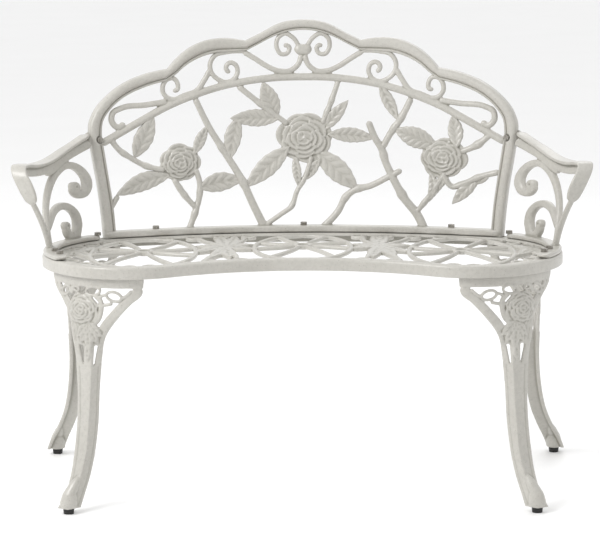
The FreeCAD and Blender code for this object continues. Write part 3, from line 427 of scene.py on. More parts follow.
def applied(piece):
    """The piece's modifiers made part of its mesh."""
    graph = bpy.context.evaluated_depsgraph_get()
    data = bpy.data.meshes.new_from_object(piece.evaluated_get(graph))
    old = piece.data
    name = old.name
    piece.modifiers.clear()
    piece.data = data
    bpy.data.meshes.remove(old)
    data.name = name
    return piece


def fused(piece, voxel, rounds=2):
    """One continuous skin over all the solids, as a casting has, within the triangle limit."""
    remesh = piece.modifiers.new("fuse", "REMESH")
    remesh.mode = "VOXEL"
    remesh.voxel_size = voxel * MM
    smooth = piece.modifiers.new("soften", "SMOOTH")
    smooth.factor, smooth.iterations = 0.5, rounds
    applied(piece)
    triangles = 2 * len(piece.data.polygons)
    if triangles > TRIANGLE_LIMIT:
        thin = piece.modifiers.new("thin", "DECIMATE")
        thin.ratio = TRIANGLE_LIMIT / triangles
        applied(piece)
    return piece


def shade(piece, angle=None):
    """Smooth shading, with the edges sharper than an angle kept sharp."""
    piece.data.shade_smooth()
    if angle is not None:
        piece.data.set_sharp_from_angle(angle=angle)


def note_hollow_shade(piece, rounds=10):
    """Stores how sunk each point lies, for the painted shade that darkens corners and hollows."""
    def read(items, field, width, kind):
        values = np.empty(len(items) * width, kind)
        items.foreach_get(field, values)
        return values.reshape(-1, width)

    data = piece.data
    count = len(data.vertices)
    at, normal = (read(data.vertices, field, 3, np.float32) for field in ("co", "normal"))
    ends = read(data.edges, "vertices", 2, np.int32)
    degree = np.bincount(ends.ravel(), minlength=count).clip(1)[:, None]
    soft = at.astype(float)
    for _ in range(rounds):
        total = np.zeros_like(soft)
        for axis in range(3):
            total[:, axis] = (np.bincount(ends[:, 0], soft[ends[:, 1], axis], count)
                              + np.bincount(ends[:, 1], soft[ends[:, 0], axis], count))
        soft = total / degree
    hollow_shade = ((soft - at) * normal).sum(1) / MM
    layer = data.attributes.new("hollow_shade", "FLOAT", "POINT")
    layer.data.foreach_set("value", np.clip(hollow_shade, -2, 2).astype(np.float32))


# ---------------------------------------------------------------- seat
def rim_samples():
    """The whole outline once round, as (arc kind, degrees, mirrored) in order."""
    def run(kind, first, last, count):
        return [(kind, turn, False) for turn in np.linspace(first, last, count, endpoint=False)]
    half = (run("back", 90, BACK_TURN, 60) + run("side", BACK_TURN, LOBE_TURN, 60)
            + run("lobe", LOBE_TURN, FRONT_TURN, 40)
            + run("front", FRONT_TURN + 180, 90, 44))
    other = [(kind, turn, True) for kind, turn, _ in reversed(half[1:])]
    return half + [("front", 90.0, False)] + other


RIM_PROFILE = [
    (1.2, 400.0), (0.2, 400.8), (0.0, 402.5), (0.0, 414.5), (0.3, 417.0), (1.3, 419.0),
    (3.0, 420.0), (5.2, 420.0), (6.0, 419.6), (6.5, 418.9), (7.1, 418.9), (7.7, 419.6),
    (8.5, 420.0), (9.6, 420.0), (10.3, 419.5), (10.8, 418.8), (11.4, 418.7), (12.4, 419.0),
    (17.0, 419.2), (22.0, 419.2), (25.0, 419.0), (27.0, 418.0), (28.0, 416.2), (28.0, 414.8),
    (27.0, 414.0), (8.0, 414.0), (5.0, 412.0), (5.0, 401.0), (4.2, 400.0),
]


def build_rim():
    rows = []
    for kind, turn, flip in rim_samples():
        ring = [rim_place(kind, turn, inset) for inset, _ in RIM_PROFILE]
        rows.append([(-x if flip else x, y, z) for (x, y), (_, z) in zip(ring, RIM_PROFILE)])
    rim = Casting(None)
    rim.add_rings(np.array(rows), closed=True)
    return rim.piece("seat_rim_casting")


BLADES, BLADE_START, BLADE_BOW = 8, 14, 4


def medallion(work, centre, hub, wide, high, flip):
    """An oval ring with eight tapered blades running out from a small hub."""
    at, middle = (flip * centre[0], centre[1]), (flip * hub[0], hub[1])
    work.loop(at, wide, high, 9, depth=7.5, power=2.8)
    work.loop(middle, 35, 35, 8.5, depth=9.0)
    work.rose(middle, 21, 21, depth=8, rings=(5, 3))
    for blade in range(BLADES):
        turn = math.radians(22.5 + 45 * blade)
        out = np.array([math.cos(turn), math.sin(turn)])
        reach = 0.0
        while (((hub[0] + out[0] * reach - centre[0]) / (wide / 2 - 4)) ** 2
               + ((hub[1] + out[1] * reach - centre[1]) / (high / 2 - 4)) ** 2) < 1:
            reach += 1.0
        start = np.array(hub) + out * BLADE_START
        bend = np.array(hub) + out * reach / 2 + np.array([-out[1], out[0]]) * BLADE_BOW
        end = np.array(hub) + out * reach
        path = [(flip * x, y) for x, y in (start, bend, end)]
        work.strand(path, 6, 12, depth=7.0, power=2.6, ridge=0.35)


# The ring of roundels inside the rim, as (arc kind, degrees).
ROUNDELS = [(kind, turn) for kind, turns in (
    ("side", range(-44, 68, 14)), ("lobe", (-70, -92, -114)), ("back", (75, 78, 81, 84)),
    ("front", (62, 69, 76))) for turn in turns]
ROUNDEL_INSET, ROUNDEL_WIDTH, BUD_WIDTH = RIM_WIDTH + 10, 29, 14
SEAT_STEM_WIDTH = 9
SEAT_STEMS = [[(134, 16), (112, 70), (106, 142)], [(134, 16), (172, 74), (196, 134)],
              [(134, 16), (118, -60), (110, -120)], [(134, 16), (150, -60), (168, -150)]]
# Each spray: its middle, the leaves' width, the flower's width and height, the leaves' tips.
SEAT_SPRAYS = [
    ((134, 16), 26, 50, 46, [(88, 40), (86, -14), (190, 20), (184, -50), (150, 140), (124, 140),
                             (158, -110), (122, -108)]),
    ((394, -40), 20, 44, 40, [(368, -96), (366, 14), (424, 0), (424, -80)]),
]


def seat_openwork():
    work = Casting(flat_seat)
    medallion(work, (0, 8), (0, 28), 178, 292, 1)
    for flip in (1, -1):
        medallion(work, (275, -55), (275, -38), 190, 336, flip)
        for index, (kind, turn) in enumerate(ROUNDELS):
            x, y = rim_place(kind, turn, ROUNDEL_INSET)
            work.loop((flip * x, y), ROUNDEL_WIDTH, ROUNDEL_WIDTH, 6, depth=7.5)
            work.rose((flip * x, y), BUD_WIDTH, BUD_WIDTH, depth=8, rings=(5, 3),
                      start=37 * index)
        for path in SEAT_STEMS:
            work.strand([(flip * x, y) for x, y in path], SEAT_STEM_WIDTH, depth=7.5,
                        knots=[(0.4, 0.25), (0.75, 0.2)])
        for centre, width, wide, high, reaches in SEAT_SPRAYS:
            at = (flip * centre[0], centre[1])
            for index, reach in enumerate(reaches):
                work.leaf(at, (flip * reach[0], reach[1]), width, depth=8.0, lift=-0.3,
                          bow=3.0 * (-1) ** index, veins=6)
            work.rose(at, wide, high, depth=11, lift=0.4, rings=(6, 5, 4, 3))
    return fused(work.piece("seat_openwork_casting"), voxel=1.45)


# ---------------------------------------------------------------- backrest
# The lobed frame's edges in the front view: left side, left shoulder, and the whole crown.
FRAME_SAMPLES = [110, 46, 60]
FRAME_OUTSIDE = [
    [(-357, 420), (-361, 463), (-368, 516), (-376, 561), (-381, 595), (-382, 620), (-374, 643),
     (-351, 671), (-322, 692), (-285, 707), (-245, 715)],
    [(-245, 715), (-234, 728), (-213, 747), (-181, 763), (-142, 768), (-105, 763)],
    whole_line([(-105, 763), (-78, 776), (-42, 794)], (0, 800)),
]
FRAME_INSIDE = [
    [(-336, 420), (-341, 474), (-348, 520), (-356, 570), (-361, 603), (-359, 626), (-346, 647),
     (-324, 666), (-290, 682), (-250, 693)],
    [(-250, 693), (-233, 703), (-214, 719), (-189, 733), (-162, 741), (-133, 743), (-103, 745)],
    whole_line([(-103, 745), (-81, 756), (-53, 770), (-23, 779)], (0, 781)),
]
# Frame section: share of the way from the outer to the inner edge, and height to the front.
FRAME_SECTION = [
    (0.0, -6.5), (0.0, 4.5), (0.05, 7.3), (0.14, 9.2), (0.28, 10.0), (0.45, 10.0), (0.60, 9.2),
    (0.69, 7.6), (0.735, 5.6), (0.775, 5.2), (0.82, 6.4), (0.88, 6.9), (0.94, 6.2), (0.985, 4.4),
    (1.0, 2.0), (1.0, -6.5), (0.94, -8.8), (0.84, -10.0), (0.16, -10.0), (0.06, -8.8),
]
ARCH = whole_line([(-362, 586), (-325, 606), (-292, 624), (-250, 646), (-203, 665), (-151, 681),
                   (-98, 691), (-48, 696)], (0, 697))
ARCH_WIDTH = 13.5
# Each scroll of the crown's left half: its points and width.
SCROLLS = [
    ([(-8, 753), (-19, 768), (-33, 775), (-46, 766), (-48, 750), (-40, 738), (-28, 740), (-25, 750),
      (-31, 754), (-34, 750)], 8.5),
    ([(-3, 738), (-10, 718), (-24, 708), (-45, 708), (-65, 716), (-87, 730), (-109, 743)], 10),
    ([(-106, 744), (-138, 743), (-160, 737), (-169, 721), (-166, 706), (-154, 694), (-138, 689),
      (-125, 695), (-119, 708), (-123, 720), (-132, 724), (-140, 717), (-138, 709),
      (-132, 707)], 8.8),
    ([(-169, 712), (-180, 692), (-194, 674), (-214, 667), (-232, 659), (-250, 650)], 10),
    ([(-228, 661), (-244, 663), (-253, 673), (-253, 686), (-246, 696), (-235, 698), (-227, 688),
      (-228, 677), (-236, 676)], 8.5),
    ([(-246, 657), (-284, 652), (-326, 648), (-341, 640), (-343, 625), (-332, 614), (-321, 622)],
     10.5),
]
# Each twig: its points, width and end width.
TWIGS = [
    ([(-346, 596), (-331, 575), (-310, 559), (-286, 545), (-250, 535)], 10, 10),
    ([(-196, 661), (-172, 611), (-140, 559), (-110, 510), (-93, 472), (-70, 426)], 11, 15),
    ([(-332, 494), (-346, 470)], 9, 9),
    ([(-235, 520), (-215, 489), (-195, 466)], 10, 10),
    ([(-196, 536), (-188, 510), (-189, 484), (-196, 459), (-208, 426)], 10, 11),
    ([(-119, 682), (-75, 647), (-28, 612)], 11, 10),
    ([(15, 556), (2, 516), (-12, 492), (-23, 464), (-40, 452), (-73, 430)], 9, 9),
    ([(33, 426), (63, 457), (77, 482), (92, 494), (121, 502), (155, 519), (178, 531)], 13, 11),
    ([(64, 690), (51, 653), (34, 612)], 10, 10),
    ([(118, 618), (130, 588), (143, 566), (149, 545), (160, 521), (183, 480), (207, 450),
      (218, 426)], 12, 16),
    ([(196, 660), (177, 623), (155, 591), (144, 570)], 12, 12),
    ([(283, 566), (309, 577), (340, 603)], 11, 11),
    ([(254, 525), (229, 488), (203, 455)], 10, 9),
    ([(252, 530), (268, 504), (291, 511), (315, 522), (352, 533)], 10, 11),
]
# Each leaf: its base, tip, width and bow.
LEAVES = [
    ((-303, 559), (-270, 632), 32, 0), ((-198, 562), (-174, 612), 19, 0),
    ((-240, 526), (-336, 494), 31, -6), ((-190, 502), (-110, 514), 33, 3),
    ((-48, 622), (-74, 689), 33, 0), ((-42, 624), (-133, 624), 30, 0),
    ((-118, 626), (-133, 551), 30, -3), ((-26, 572), (-106, 500), 34, 0),
    ((-16, 556), (-8, 498), 16, 0), ((30, 550), (2, 511), 17, 0),
    ((24, 564), (99, 496), 38, 0), ((45, 594), (130, 587), 26, 2),
    ((34, 600), (82, 655), 23, 0), ((139, 684), (172, 619), 21, 0),
    ((240, 576), (165, 604), 35, 0), ((278, 574), (270, 632), 26, 0),
    ((229, 528), (226, 478), 17, 8), ((262, 520), (226, 475), 20, -8),
    ((315, 524), (268, 473), 22, 0), ((335, 528), (300, 510), 16, 0),
]
ROSES = [((-223, 547), 74, 66), ((2, 588), 100, 88), ((253, 554), 82, 71)]
CLIP, CLIP_WIDTH = [(-16, 746), (0, 746.5), (16, 746)], 19
RAIL_ARC, RAIL_HALF, RAIL_HEIGHT = 23.4, 12.0, 12.0
RECESS_RADIUS, RECESS_DEPTH, RECESS_MIDDLE = 7.5, 10.0, 11.0


def frame_edge(pieces, counts):
    """One edge of the lobed frame from its left foot to its right foot."""
    whole = pieces + [flipped_points(points[::-1]) for points in pieces[:2][::-1]]
    lines = []
    for points, count in zip(whole, counts + counts[:2][::-1]):
        line = smooth_line(points, FRAME_STEP)
        share = np.linspace(0, 1, count) * (len(line) - 1)
        at = np.arange(len(line))
        lines.append(np.stack([np.interp(share, at, line[:, k]) for k in (0, 1)], -1)[:-1])
    return np.concatenate(lines + [np.array([whole[-1][-1]], float)])


def backrest_frame():
    outside, inside = (frame_edge(pieces, FRAME_SAMPLES)
                       for pieces in (FRAME_OUTSIDE, FRAME_INSIDE))
    share, rise = np.array(FRAME_SECTION).T
    u = outside[:, :1] + (inside - outside)[:, :1] * share
    v = outside[:, 1:] + (inside - outside)[:, 1:] * share
    work = Casting(on_back)
    work.add_rings(on_back(u, v, np.broadcast_to(rise, u.shape)))
    piece = work.piece("backrest_frame_casting")
    for side in (-1, 1):
        counterbore(piece, side)
    return piece


def counterbore(piece, side):
    """The recess round the head of one arm's rear bolt."""
    at = on_back(side * POST_BOLT_X, POST_BOLT_Z, RECESS_MIDDLE) * MM
    turn = math.asin(side * POST_BOLT_X / BACK_RADIUS)
    bpy.ops.mesh.primitive_cylinder_add(
        vertices=40, radius=RECESS_RADIUS * MM, depth=RECESS_DEPTH * MM, location=tuple(at),
        rotation=(math.pi / 2, 0, -turn))
    tool = bpy.context.object
    cut = piece.modifiers.new("recess", "BOOLEAN")
    cut.operation, cut.solver, cut.object = "DIFFERENCE", "EXACT", tool
    applied(piece)
    bpy.data.objects.remove(tool)


def bolted_strip(work, centre, radius, turns, half, height):
    """The curved strip along a casting's foot, lying on the seat."""
    strip = Casting(plan(SEAT_TOP + height / 2))
    strip.strand(centre + radius * turned(turns), 2 * half, depth=height, power=5, sides=28)
    work.take(strip)


def backrest_openwork():
    work, flowers = Casting(on_back), Casting(on_back)
    work.strand(ARCH, ARCH_WIDTH, depth=13, power=2.6, ridge=0.12)
    for index, (points, width, end_width) in enumerate(TWIGS):
        knots = [(0.31 + 0.07 * (index % 3), 0.22), (0.72 - 0.06 * (index % 4), 0.26)]
        work.strand(points, width, end_width, depth=12.5, power=2.2,
                    knots=knots if len(points) > 2 else ())
    for index, (base, tip, width, bow) in enumerate(LEAVES):
        flowers.leaf(base, tip, width * 1.04, bow, depth=7.5, lift=0.5, veins=5 + index % 3,
                     curl=3.0 * (-1) ** index, relief=1.0)
    for points, width in SCROLLS:
        for half in (points, flipped_points(points)):
            work.strand(half, width, depth=10, power=2.3)
    work.strand(CLIP, CLIP_WIDTH, depth=15, power=3.2, ridge=0.1)
    for index, (centre, wide, high) in enumerate(ROSES):
        flowers.rose(centre, wide * 1.03, high * 1.03, depth=20, lift=0.8, start=70 * index)
    bolted_strip(work, np.array([0, BACK_Y - BACK_RADIUS]), BACK_RADIUS,
                 np.linspace(90 - RAIL_ARC, 90 + RAIL_ARC, 61), RAIL_HALF, RAIL_HEIGHT)
    bars, blooms = work.piece("backrest_openwork_casting"), flowers.piece("backrest_roses_casting")
    return fused(bars, voxel=1.3), fused(blooms, voxel=1.0, rounds=1)


# ---------------------------------------------------------------- arms
# Each scroll in the side view: its points, width and end width; each bulb: its place and width.
ARM_SCROLLS = [
    ([(-62, 421), (-57, 452), (-48, 476), (-36, 495), (-20, 514), (-1, 532), (20, 547), (45, 556),
      (67, 552), (80, 541), (86, 527), (83, 512), (74, 503), (63, 503), (56, 511), (57, 518)],
     8.5, 15),
    ([(-10, 548), (14, 556), (40, 566)], 12, 12),
    ([(-52, 457), (-31, 468), (-9, 482), (18, 488), (37, 483), (50, 470), (52, 453), (46, 436),
      (40, 421)], 12, 14),
    ([(44, 431), (35, 430), (25, 439), (23, 452)], 15, 14),
    ([(-66, 421), (-70, 440), (-79, 461), (-92, 482), (-105, 503), (-116, 523)], 13, 9),
    ([(42, 434), (40, 421)], 16, 28),
    ([(106, 590), (53, 573), (3, 558), (-40, 556), (-90, 562)], 16, 16),
]
ARM_BULBS = [(59, 517, 18), (23, 452, 16)]
ARM_STRIP_INSET, ARM_STRIP_HALF, ARM_STRIP_HEIGHT = 14.0, 12.0, 8.0
LUG_LINE, LUG_HEIGHT, LUG_DEPTH, LUG_STANDOFF = [(-9, 0), (9, 0), (27, 0)], 26, 6, 9


def arm_station(along, height, width):
    """A row of the armrest: the place on the arm's surface at a height, and the width there."""
    return [*arm_place(np.array(along), np.array(float(height)), np.array(0.0)), width]


# Each row: x, y, z and width, from the post to the rolled front end.
ARMREST = [
    [390, 117, 601, 14], arm_station(0.13, 602, 19), arm_station(0.34, 584, 22),
    arm_station(0.57, 569, 25), arm_station(0.78, 567, 28), arm_station(0.94, 571, 30),
    [481.5, -104, 570, 29], [478, -116, 560, 30], [470.5, -122, 545, 31], [463, -122, 527, 28],
    [457.5, -117, 509, 17],
]
ROLL_START, ROLL_BLEND, ROLL_ACROSS, ARMREST_END = -75, 25, np.array([-0.95, -0.31, 0]), 9


def armrest_band(work):
    """The armrest: a crowned band, over the front and rolled down to its tip."""
    line = smooth_line(ARMREST, ARMREST_STEP)
    centre, half = line[:, :3], line[:, 3] / 2
    heading = unit(np.gradient(centre, axis=0))
    rolled = np.clip((ROLL_START - centre[:, 1:2]) / ROLL_BLEND, 0, 1)
    across = unit(unit(np.cross(heading, [0, 0, 1.0])) * (1 - rolled) + ROLL_ACROSS * rolled)
    run = run_along(centre)
    left = np.clip((run[-1] - run) / ARMREST_END, 0, 1)
    half = half * np.sqrt(np.maximum(1 - (1 - left) ** 2, 0.08))
    up = unit(np.cross(across, heading))
    side, out = oval(28, 4.5)
    crown = 1.1 * (1 - side ** 2) + 0.9 * np.exp(-((np.abs(side) - 0.86) / 0.1) ** 2)
    thick = 3.2 * out + np.where(out > 0, crown - 0.6, 0)
    work.add_rings(centre[:, None] + across[:, None] * (half[:, None] * side)[..., None]
                   + up[:, None] * np.broadcast_to(thick, (len(line), len(side)))[..., None])


def build_arms():
    work = Casting(on_arm)
    for points, width, end_width in ARM_SCROLLS:
        work.strand(points, width, end_width, depth=10.5, power=3.6, sides=24)
    for y, z, wide in ARM_BULBS:
        work.strand([(y - 1.5, z), (y, z), (y + 1.5, z)], wide, depth=11, power=3.2)
        work.loop((y, z), wide, wide, wide / 2 - 1, depth=10.5, power=3.2)
    armrest_band(work)
    bolted_strip(work, SIDE_CENTRE, SIDE_RADIUS - ARM_STRIP_INSET, np.linspace(-34, 51, 31),
                 ARM_STRIP_HALF, ARM_STRIP_HEIGHT)
    turn = math.asin(POST_BOLT_X / BACK_RADIUS)
    normal = np.array([math.sin(turn), math.cos(turn), 0.0])
    tangent = np.array([normal[1], -normal[0], 0.0])
    at = on_back(POST_BOLT_X, POST_BOLT_Z, 0.0) + normal * LUG_STANDOFF
    lug = Casting(lambda u, v, w: at + tangent * u[..., None] + np.array([0, 0, 1.0])
                  * v[..., None] + normal * w[..., None])
    lug.strand(LUG_LINE, LUG_HEIGHT, depth=LUG_DEPTH, power=4)
    work.take(lug)
    pieces = [work.piece("arm_right_casting"), work.piece("arm_left_casting", mirror=True)]
    return [fused(piece, voxel=1.3) for piece in pieces]


# ---------------------------------------------------------------- legs
BAND_LOW, BAND_TOP = 384.0, 414.0
SLOT_LOW, SLOT_TOP, STEM_TOP = 251.0, 284.0, 318.0
SHELL_STEP, SHELL_COLUMNS, BORDER, NO_BORDER = 2.5, 61, 7.0, -6.0
BORDER_RISE, EDGE_FALL, EDGE_ROUNDING, VALLEY_FALL = 1.3, 1.6, 1.8, 0.7


def leg_shell(work, low, high, border=BORDER):
    """A wall of the leg between two heights, its edges raised into a border."""
    v, s = np.meshgrid(np.arange(low, high + 0.1, SHELL_STEP),
                       np.linspace(-1, 1, SHELL_COLUMNS), indexing="ij")
    length = np.where(s > 0, work.place.length(v, 1), work.place.length(v, -1))
    u = s * length
    from_edge = length - np.abs(u)
    raised = BORDER_RISE / (1 + np.exp((from_edge - border) * 1.6))
    rounded = EDGE_FALL * np.clip(1 - from_edge / EDGE_ROUNDING, 0, 1) ** 2
    valley = VALLEY_FALL * np.exp(-((from_edge - border - 1.2) / 1.1) ** 2)
    front = 0.2 + raised - rounded - valley
    back = np.full_like(front, -LEG_WALL) + rounded * 0.5
    work.add(work.both_sides(u, v, front, back), closed_sheet(*u.shape))


# Radius and height: the toe's knob, and the swelling that carries it up the leg.
TOE_KNOB = [(4.3, 9.3), (11.3, 9.3), (13.7, 11.2), (14.8, 15.5), (14.7, 20.0), (13.8, 26.0),
            (12.6, 31.0), (11.4, 35.6), (4.3, 35.6)]
TOE_SWELL = [(0.2, 34.4), (11.4, 34.4), (10.6, 41.0), (9.0, 49.0), (6.2, 57.0), (0.2, 63.0)]
TOE_SIDES = 36


def leg_toe(work, foot, lean):
    """The rounded knob of the toe, round the levelling stud, leaning back into the leg."""
    turn = np.arange(TOE_SIDES) * 2 * math.pi / TOE_SIDES
    for profile, start, share, bore in ((TOE_KNOB, 18.0, 0.25, 5.0), (TOE_SWELL, 30.0, 1.0, 0.0)):
        radius, height = np.array(profile).T[..., None]
        height = height + 0 * turn
        shift = np.maximum(height - start, 0) * share * (radius > bore)
        work.add_rings(np.stack([foot[0] + lean[0] * shift + radius * np.cos(turn),
                                 foot[1] + lean[1] * shift + radius * np.sin(turn), height], -1),
                       closed=True)


# The apron's bars along the leg's edges: side, inset, width and end width. Walls of the leg's
# slots: side, low and top width.
APRON_EDGES = [(-1, 5.5, 10, 10), (1, 8.5, 20, 18)]
APRON_EDGE_HEIGHTS = (306, 318, 335, 350, 362, 372, 386)
SLOT_WALLS = [(-1, 18, 12), (1, 17, 9)]
# Each loop: centre, width, height, bar width and tilt.
APRON_LOOPS = [((6, 378), 32, 19, 4.6, 6), ((44, 370), 31, 20, 4.8, -14),
               ((-58, 374), 30, 19, 5.4, 24), ((-30, 379), 18, 12, 4.4, 0)]
# Each bar: its points, width, end width and lift.
APRON_BARS = [
    ([(-44, 344), (-52, 354), (-62, 362)], 13, 13, -2.0),
    ([(-44, 368), (-40, 376), (-40, 384)], 9, 9, -2.0),
    ([(-72, 372), (-78, 378), (-84, 386)], 9, 9, -2.0),
    ([(14, 362), (24, 371), (33, 373)], 5, 5, -1.8),
    ([(55, 366), (66, 373), (74, 381)], 5, 4.5, -1.8),
    ([(10, 354), (28, 355), (42, 358)], 5.5, 5.5, -1.8),
    ([(8, 372), (20, 362), (21, 344), (14, 328), (2, 320)], 9, 9, -1.4),
    ([(-26, 334), (-26, 322), (-16, 312)], 10, 10, -2.0),
    ([(-36, 336), (-33, 322), (-30, 312)], 6, 6, -2.0),
]
# Each leaf: base, tip and width.
APRON_LEAVES = [((-4, 322), (-27, 298), 16), ((-2, 324), (19, 300), 17),
                ((-2, 318), (12, 288), 15), ((-4, 318), (-20, 288), 14),
                ((-3, 312), (-3, 276), 16), ((-4, 290), (-7, 256), 12)]


def apron(work):
    """Pierced work below the seat: a rose, loops and leaves between the leg's edges."""
    for side, inset, width, end_width in APRON_EDGES:
        path = [(side * (work.place.length(z, side) - inset), z) for z in APRON_EDGE_HEIGHTS]
        work.strand(path, width, end_width, depth=6.5, power=3.0, lift=-2.2)
    heights = np.linspace(SLOT_LOW - 8, SLOT_TOP + 8, 5)
    for side, low_wide, top_wide in SLOT_WALLS:
        wide = np.linspace(low_wide, top_wide, 5)
        path = np.stack([side * (work.place.length(heights, side) - wide / 2 + 0.6), heights], -1)
        work.strand(path, low_wide, top_wide, depth=6, power=3.2, lift=-2.2)
    work.strand([(-5.5, SLOT_LOW - 12), (-5.5, 262), (-5, 276), (-4, SLOT_TOP + 12)], 20, 22,
                depth=6, power=3.2, lift=-2.2)
    work.strand([(-0.5, 305), (-1, 320), (-4, 335)], 18, depth=6, lift=-2.4)
    for centre, wide, high, width, tilt in APRON_LOOPS:
        work.loop(centre, wide, high, width, depth=6, lift=-1.8, tilt=tilt)
    for points, width, end_width, lift in APRON_BARS:
        work.strand(points, width, end_width, depth=6, lift=lift)
    work.rose((-15, 346), 63, 57, depth=20, lift=1.6, start=120)
    for base, tip, width in APRON_LEAVES:
        work.leaf(base, tip, width, depth=4.5, lift=0.6, veins=4)


LEG_INSET = 8.0
# Each leg: its rows, the way inwards, its outer and inner flange's radius, its foot, the toe's lean.
LEGS = {
    "leg_front": (FRONT_LEG, (-0.2, 1.0), (SIDE_RADIUS - LEG_INSET, LOBE_RADIUS - LEG_INSET),
                  FRONT_FOOT, (-0.50, 0.40)),
    "leg_rear": (REAR_LEG, (-0.75, -0.66), (SIDE_RADIUS - LEG_INSET, SIDE_RADIUS - LEG_INSET),
                 REAR_FOOT, (-0.36, -0.85)),
}


def build_legs():
    """The four legs, each with the name of the frame's node that it replaces."""
    pieces = []
    for leg, (rows, inward, radii, foot, lean) in LEGS.items():
        work = Casting(LegSurface(rows, inward, radii))
        leg_shell(work, LEG_BOTTOM + 0.5, SLOT_LOW)
        leg_shell(work, SLOT_TOP, STEM_TOP)
        leg_shell(work, BAND_LOW, BAND_TOP, NO_BORDER)
        apron(work)
        leg_toe(work, foot, lean)
        for node, mirror in ((f"{leg}_right", False), (f"{leg}_left", True)):
            piece = fused(work.piece(f"{node}_casting", mirror), voxel=1.25)
            pieces.append((piece, node))
    return pieces


# ---------------------------------------------------------------- materials
# Sockets of a Mix node set to colour.
MIX_AMOUNT, MIX_FIRST, MIX_SECOND, MIX_RESULT = 0, 6, 7, 2


class Shader:
    """A principled material being wired up."""

    def __init__(self, name):
        self.material = bpy.data.materials.new(name)
        self.material.use_nodes = True
        self.nodes, self.links = self.material.node_tree.nodes, self.material.node_tree.links
        self.surface = self.nodes["Principled BSDF"]
        self.place = self.nodes.new("ShaderNodeTexCoord").outputs["Object"]

    def feed(self, socket, value):
        if isinstance(value, bpy.types.NodeSocket):
            self.links.new(value, socket)
        else:
            socket.default_value = (*value, 1.0) if isinstance(value, tuple) else value

    def node(self, kind, **values):
        node = self.nodes.new("ShaderNode" + kind)
        for name, value in values.items():
            self.feed(node.inputs[name.replace("_", " ").title()], value)
        return node

    def noise(self, scale, detail=3.0, rough=0.5):
        return self.node("TexNoise", scale=scale, detail=detail, roughness=rough,
                         vector=self.place).outputs["Fac"]

    def ramp(self, value, stops):
        node = self.node("ValToRGB", fac=value)
        while len(node.color_ramp.elements) < len(stops):
            node.color_ramp.elements.new(0.5)
        for element, (place, colour) in zip(node.color_ramp.elements, stops):
            element.position = place
            element.color = (*(colour if isinstance(colour, tuple) else (colour,) * 3), 1.0)
        return node.outputs["Color"]

    def mix(self, amount, first, second, kind="MIX"):
        node = self.node("Mix")
        node.data_type, node.blend_type = "RGBA", kind
        for index, value in ((MIX_AMOUNT, amount), (MIX_FIRST, first), (MIX_SECOND, second)):
            self.feed(node.inputs[index], value)
        return node.outputs[MIX_RESULT]

    def scaled(self, value, low, high):
        return self.node("MapRange", value=value, to_min=low, to_max=high).outputs["Result"]

    def attribute(self, name):
        node = self.node("Attribute")
        node.attribute_name = name
        return node.outputs["Fac"]

    def bump(self, height, strength, distance, **base):
        """A bumped normal, over another one where normal= gives it."""
        return self.node("Bump", strength=strength, distance=distance, height=height,
                         **base).outputs["Normal"]

    def set(self, **values):
        for name, value in values.items():
            label = name if name == "IOR" else name.replace("_", " ").title()
            self.feed(self.surface.inputs[label], value)
        return self.material


def painted():
    """Off-white powder coat: fine orange peel, dark flecks, and painted shade darkening the corners
    and hollows.
    """
    shader = Shader("painted_casting")
    tone = shader.ramp(shader.noise(9.0, 4.0), [(0.3, (0.452, 0.437, 0.398)),
                                                 (0.7, (0.512, 0.497, 0.456))])
    mottle = shader.ramp(shader.noise(160.0, 2.0), [(0.35, 0.93), (0.6, 1.0)])
    tone = shader.mix(1.0, tone, mottle, "MULTIPLY")
    fleck = shader.ramp(shader.noise(620.0, 1.0), [(0.69, 0.0), (0.74, 1.0)])
    tone = shader.mix(fleck, tone, (0.27, 0.255, 0.22))
    # Painted shade: a darker, warmer grey laid where the surface lies sunk, in hollows and corners.
    hollow_shade = shader.ramp(shader.attribute("hollow_shade"), [(0.02, 0.0), (0.50, 0.75)])
    tone = shader.mix(hollow_shade, tone, (0.25, 0.24, 0.20))
    peel = shader.bump(shader.noise(300.0, 2.0), 0.20, 0.0005)
    cast = shader.bump(shader.noise(70.0, 4.0), 0.22, 0.0012, normal=peel)
    return shader.set(base_color=tone, roughness=shader.scaled(shader.noise(40.0), 0.30, 0.46),
                      normal=cast, coat_weight=0.30, coat_roughness=0.22, IOR=1.5)


def zinc(name, dark, light, rough):
    """Zinc-plated steel, slightly stained and brushed by the die."""
    shader = Shader(name)
    tone = shader.ramp(shader.noise(260.0, 4.0), [(0.3, dark), (0.7, light)])
    stain = shader.ramp(shader.noise(90.0, 3.0), [(0.55, 0.0), (0.75, 0.7)])
    tone = shader.mix(stain, tone, (0.11, 0.085, 0.06))
    return shader.set(base_color=tone, metallic=0.85, normal=shader.bump(
        shader.noise(900.0, 2.0), 0.25, 0.0002), roughness=shader.scaled(
            shader.noise(300.0), rough - 0.1, rough + 0.12))


def nylon():
    """Black moulded nylon with a fine spark-eroded grain."""
    shader = Shader("black_nylon")
    tone = shader.ramp(shader.noise(120.0, 3.0), [(0.3, (0.006, 0.006, 0.006)),
                                                  (0.7, (0.013, 0.013, 0.012))])
    return shader.set(base_color=tone, normal=shader.bump(shader.noise(1500.0, 2.0), 0.35,
                                                          0.0002),
                      roughness=shader.scaled(shader.noise(60.0), 0.42, 0.6))


SHARP_EDGED = ("seat_rim_casting", "backrest_frame_casting")
MATERIALS = {
    "painted_casting": painted(),
    "zinc_hardware": zinc("zinc_hardware", (0.20, 0.19, 0.17), (0.42, 0.40, 0.36), 0.38),
    "zinc_stud": zinc("zinc_stud", (0.40, 0.40, 0.40), (0.62, 0.61, 0.59), 0.32),
    "black_nylon": nylon(),
}


